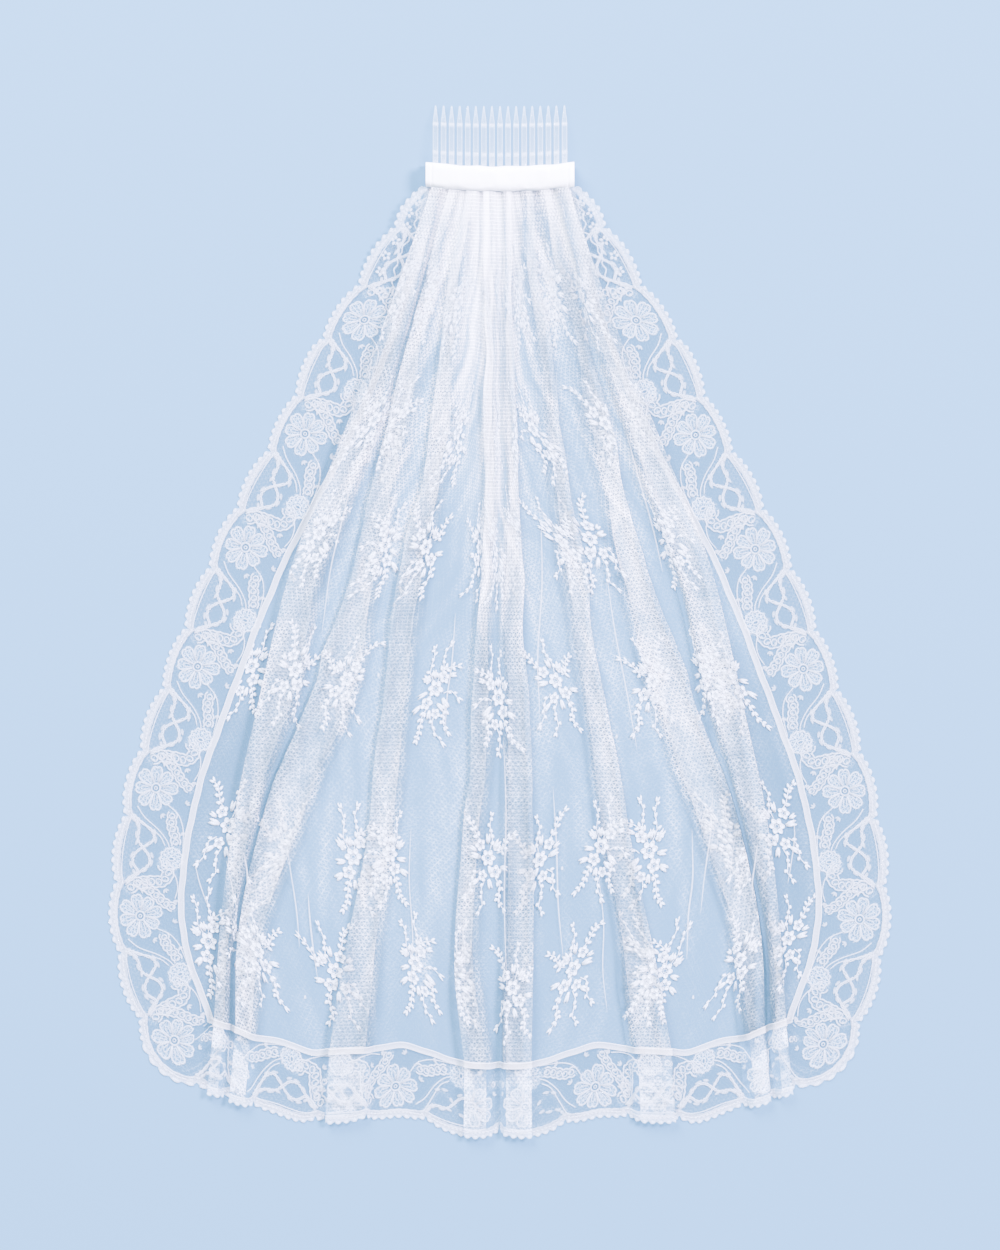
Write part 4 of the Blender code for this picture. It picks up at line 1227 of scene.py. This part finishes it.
def pinchMesh():
    # each pinch a three-sided thread of drawn-up net that thins out at both ends; each knot a small cushion
    shapes = []
    for *line, width in pinches:
        path = smoothPath(line, 26)
        ends = np.sin(np.linspace(0, np.pi, len(path))) ** 0.7
        points, faces = ribbon(path, 0.12 + width * ends, 0.0, 0.5)
        points[:, 2] += topOfNet(points[:, 0], points[:, 1]) + 0.1
        shapes.append((points, faces))
    for x, y in seedKnots:
        points, faces = pad(leafOutline(x, y - 1.3, 1.5, 2.6, 1.5), 0.1, 0.4)
        points[:, 2] += topOfNet(np.array([x]), np.array([y]))[0]
        shapes.append((points, faces))
    return joinShapes(shapes)


netPinches = newPiece("net_pinches", *pinchMesh(), pinchWhite, slot="net", closed=True)


# Tape over the seam, half on the net and half on the lace
edging = {"width": 3.6, "thick": 0.3}


def tapeRows(strip):
    # rings along the strip: a stitched ridge at each edge, a flat body between them, then back underneath
    s = strip["s"]
    across = np.array((-0.5, -0.44, -0.36, 0.0, 0.36, 0.44, 0.5)) * edging["width"]
    tall = np.array((0.0, 1.0, 0.35, 0.4, 0.35, 1.0, 0.0)) * edging["thick"]
    top = [onTape(strip, s, t, h + 0.5) for t, h in zip(across, tall)]
    bottom = [onTape(strip, s, t, 0.42) for t in across[[-1, 0]]]
    return np.stack(top + bottom, axis=1)


def onTape(strip, s, t, height):
    # like onLace but also inwards of the seam
    get = lambda name: np.interp(s, strip["s"], strip[name])
    wobble = 0.18 * np.sin(s / 7.0) + 0.12 * np.sin(s / 2.9)
    x, y = get("bx") + (t + wobble) * get("wx"), get("by") + (t + wobble) * get("wy")
    return np.stack([x + height * get("nx"), y, get("layer") + relief(x, y) + height * get("nz")], axis=-1)


def tapeMesh():
    points, faces, first = [], [], 0
    for side, strip in strips.items():
        ring = tapeRows(strip)
        count = ring.shape[1]
        points.append(ring.reshape(-1, 3))
        faces += (gridFaces(len(ring), count, closedAcross=True) + first).tolist()
        faces += [[first + k for k in range(count)], [first + (len(ring) - 1) * count + k for k in range(count)]]
        first += ring.shape[0] * count
    return np.concatenate(points), faces


tape = newPiece("tape", *tapeMesh(), tapeWhite, slot="tape", closed=True)
closeness = np.array((1.9, 2.0, 1.0, 0.9, 1.0, 2.0, 1.9, 0.4, 0.4))
fromHeader = np.concatenate([strip["s"] for strip in strips.values()])
closeness = closeness[None, :] * (0.25 + 0.75 * smoothStep((fromHeader - 40.0) / 70.0))[:, None]
setValue(tape, "stitched", closeness)
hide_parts("edge_tape")

# Header band
band = {"backY": 254.4, "frontY": 268.8, "height": 11.0, "half": 43.2, "slot": 1.6, "slotBack": 257.7, "comb": 6.0}


def bandMesh():
    # rings of a rounded box, slotted at the front for the spine, puckered and crumpled by sums of sines
    middle = (band["frontY"] + band["backY"]) / 2
    deep, tall = (band["frontY"] - band["backY"]) / 2, band["height"] / 2
    x = np.linspace(-band["half"], band["half"], 220)[:, None]
    lip = math.asin((band["slot"] / tall) ** 1.5)
    angle = np.linspace(lip, 2 * np.pi - lip, 60)[None, :]
    y = np.sign(np.cos(angle)) * np.abs(np.cos(angle)) ** 0.55 * deep
    z = np.sign(np.sin(angle)) * np.abs(np.sin(angle)) ** (2 / 3) * tall
    crumple = 0.45 * clouds(x + 200, angle * 9, 7.0, 6.0, 21) + 0.2 * clouds(x + 200, angle * 9, 2.6, 4.0, 22)
    lower = np.exp(-((np.cos(angle) + 0.95) / 0.25) ** 2)  # puckers where the net is sewn in
    crumple = crumple + 0.28 * lower * clouds(x + 200, 0 * angle, 1.5, 1.0, 23)
    away = smoothStep((np.abs(z) - band["slot"]) / 2.0)
    end = 1.0 - 0.10 * smoothStep((np.abs(x) - 0.93 * band["half"]) / (0.07 * band["half"]))
    fold = -0.9 * np.exp(-((np.abs(x) - band["half"] + 3.5) / 0.5) ** 2) * np.clip(np.sin(angle), 0, 1)
    z = z * end + (crumple * 0.9 + fold) * np.sign(z) * away
    y = y * (1.0 + 0.02 * np.sin(x * 0.35)) + 0.4 * crumple
    inner = np.broadcast_to([[band["slotBack"] - middle] * 2], (len(x), 2))
    y = np.concatenate([y, inner], axis=1)
    z = np.concatenate([z, np.broadcast_to([[-band["slot"], band["slot"]]], (len(x), 2))], axis=1)
    ring = np.stack([x + 0 * y, y + middle - cloth["headerBow"] * arch(x),
                     z + band["comb"] + cloth["arch"] * arch(x)], axis=-1)
    rows, count = ring.shape[:2]
    faces = gridFaces(rows, count, closedAcross=True).tolist()
    faces += [list(range(count)), [(rows - 1) * count + k for k in range(count)]]
    return ring.reshape(-1, 3), faces


satin, tree, shader = plainMaterial("satinRibbon", (0.97, 0.955, 0.985), 0.42, **{"Sheen Weight": 0.3})
coordinate = tree.nodes.new("ShaderNodeTexCoord")
stretch = tree.nodes.new("ShaderNodeMapping")
stretch.inputs["Scale"].default_value = (260.0, 2600.0, 2600.0)
tree.links.new(coordinate.outputs["Object"], stretch.inputs["Vector"])
weave = tree.nodes.new("ShaderNodeTexNoise")
weave.inputs["Scale"].default_value = 1.0
weave.inputs["Detail"].default_value = 4.0
tree.links.new(stretch.outputs[0], weave.inputs["Vector"])
addBump(tree, shader, weave.outputs["Fac"], 0.2, 0.0002)
headerBand = newPiece("band", *bandMesh(), satin, slot="band", closed=True)
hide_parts("header_band")

# Comb
comb = {"teeth": 17, "pitch": 4.7, "width": 3.0, "tip": 1.0, "back": 258.0, "front": 266.0, "end": 302.5,
        "thick": 2.4, "tipThick": 0.9, "taper": 0.7, "ridges": (0.27, 0.71)}


def combPlace(x, y, z, t):
    bow = cloth["headerBow"] * arch(x) * (1.0 - 0.7 * t)
    droop = band["comb"] - (band["comb"] - comb["tipThick"] / 2) * t ** 2.2
    return np.stack([x, y - bow, z + droop + cloth["arch"] * arch(x)], axis=-1)


def combMesh():
    # spine: one rounded bar. teeth: rings of a rounded oblong that taper to a point and droop to the surface
    points, faces, first, whiteAndHighlight = [], [], 0, []
    angle = np.linspace(0, 2 * np.pi, 12, endpoint=False)[None, :]
    roundX = np.sign(np.cos(angle)) * np.abs(np.cos(angle)) ** 0.8
    roundZ = np.sign(np.sin(angle)) * np.abs(np.sin(angle)) ** 0.7
    t = np.concatenate([[0.0], np.linspace(0, 1, 40)])[:, None]
    y = comb["front"] - 1.0 + (comb["end"] - comb["front"] + 1.0) * t
    taper = smoothStep((t - comb["taper"]) / (1.0 - comb["taper"]))
    ridge = sum(np.exp(-((t - at) / 0.018) ** 2) for at in comb["ridges"])
    half = comb["width"] / 2 * (1 - taper) + comb["tip"] / 2 * taper + 0.12 * ridge
    thick = comb["thick"] + (comb["tipThick"] - comb["thick"]) * t + 0.5 * ridge
    half[0], thick[0] = half[0] * 0.4, thick[0] * 0.4
    half[-1], thick[-1] = half[-1] * 0.5, thick[-1] * 0.5
    for k in range(comb["teeth"]):
        middle = (k - (comb["teeth"] - 1) / 2) * comb["pitch"]
        ring = combPlace(middle + half * roundX, y + 0 * angle, thick / 2 * roundZ, t + 0 * angle)
        rows, count = ring.shape[:2]
        points.append(ring.reshape(-1, 3))
        # painted highlight on each ridge where the teeth bend; whiter near the spine and a little towards the tips
        whiteAndHighlight.append((0.2 * ridge + 0.26 * np.exp(-t / 0.12) + 0.05 * taper + 0 * angle).ravel())
        faces += (gridFaces(rows, count, closedAcross=True) + first).tolist()
        faces += [[first + i for i in range(count)], [first + (rows - 1) * count + i for i in range(count)]]
        first += rows * count
    x = np.linspace(-1, 1, 60)[:, None] * (comb["teeth"] * comb["pitch"] - 1.3) / 2
    middle, deep = (comb["back"] + comb["front"]) / 2, (comb["front"] - comb["back"]) / 2
    ring = combPlace(x + 0 * angle, middle + deep * roundX + 0 * x, comb["thick"] / 2 * roundZ + 0 * x, 0 * x + 0 * angle)
    rows, count = ring.shape[:2]
    points.append(ring.reshape(-1, 3))
    faces += (gridFaces(rows, count, closedAcross=True) + first).tolist()
    faces += [[first + i for i in range(count)], [first + (rows - 1) * count + i for i in range(count)]]
    whiteAndHighlight.append(np.zeros(rows * count))
    return np.concatenate(points), faces, np.concatenate(whiteAndHighlight)


# clear plastic: seen through where it faces up; where its sides turn away the Layer Weight makes it whiter, a painted
# reflection
clear, tree, shader = plainMaterial("clearPlastic", (0.93, 0.96, 0.99), 0.06, **{"IOR": 1.45})
facing = tree.nodes.new("ShaderNodeLayerWeight")
facing.inputs["Blend"].default_value = 0.5
body = mathNode(tree, "ADD", mathNode(tree, "MULTIPLY", mathNode(
    tree, "POWER", facing.outputs["Facing"], 2.2), 1.0), 0.03)
# the stored painted highlights and whitening add to the alpha
lines = tree.nodes.new("ShaderNodeAttribute")
lines.attribute_name = "whiteAndHighlight"
body = mathNode(tree, "MINIMUM", mathNode(tree, "ADD", body, lines.outputs["Fac"]), 1.0)
tree.links.new(body, shader.inputs["Alpha"])
haze = tree.nodes.new("ShaderNodeTexNoise")
haze.inputs["Scale"].default_value = 220.0
coordinate = tree.nodes.new("ShaderNodeTexCoord")
tree.links.new(coordinate.outputs["Object"], haze.inputs["Vector"])
spread = mathNode(tree, "ADD", mathNode(tree, "MULTIPLY", haze.outputs["Fac"], 0.14), 0.02)
tree.links.new(spread, shader.inputs["Roughness"])
points, faces, whiteAndHighlight = combMesh()
combPiece = newPiece("comb_clear", points, faces, clear, slot="comb", closed=True)
setValue(combPiece, "whiteAndHighlight", whiteAndHighlight)
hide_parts("comb")

# Surface, light and camera
floorMaterial, tree, shader = plainMaterial("palePaper", (0.0486, 0.150, 0.239), 0.9)
floorMesh = bpy.data.meshes.new("floor")
floorMesh.from_pydata([(-9, -9, 0), (9, -9, 0), (9, 9, 0), (-9, 9, 0)], [], [(0, 1, 2, 3)])
floorMesh.materials.append(floorMaterial)
floor = bpy.data.objects.new("floor", floorMesh)
bpy.context.collection.objects.link(floor)

world = bpy.data.worlds.new("studio")
world.use_nodes = True
world.node_tree.nodes["Background"].inputs["Color"].default_value = (0.74, 0.82, 1.0, 1.0)
world.node_tree.nodes["Background"].inputs["Strength"].default_value = 3.2
bpy.context.scene.world = world


def addLight(name, place, size, power, colour=(1.0, 1.0, 1.0)):
    data = bpy.data.lights.new(name, "AREA")
    data.shape, data.size, data.energy, data.color = "DISK", size, power, colour
    light = bpy.data.objects.new(name, data)
    light.location = place
    light.rotation_euler = (Vector((0, 0, 0)) - Vector(place)).to_track_quat("-Z", "Y").to_euler()
    bpy.context.collection.objects.link(light)
    return light


addLight("key", (4.6, 2.3, 4.7), 2.2, 6100.0, (0.69, 0.64, 1.0))
addLight("fill", (-1.3, 2.6, 1.9), 2.0, 1350.0, (0.68, 0.72, 1.0))

pixel = 0.584 * mm           # one pixel of the 1000 x 1250 frame at the surface
cameraHeight = 2.4
cameraData = bpy.data.cameras.new("camera")
cameraData.sensor_width = 36.0
cameraData.sensor_fit = "AUTO"
cameraData.lens = 36.0 * cameraHeight / (1250 * pixel)
camera = bpy.data.objects.new("camera", cameraData)
camera.location = (-shift[0] * mm, (623.5 - 625.0) * pixel - shift[1] * mm, cameraHeight)
bpy.context.collection.objects.link(camera)
bpy.context.scene.camera = camera
print("scene ready")
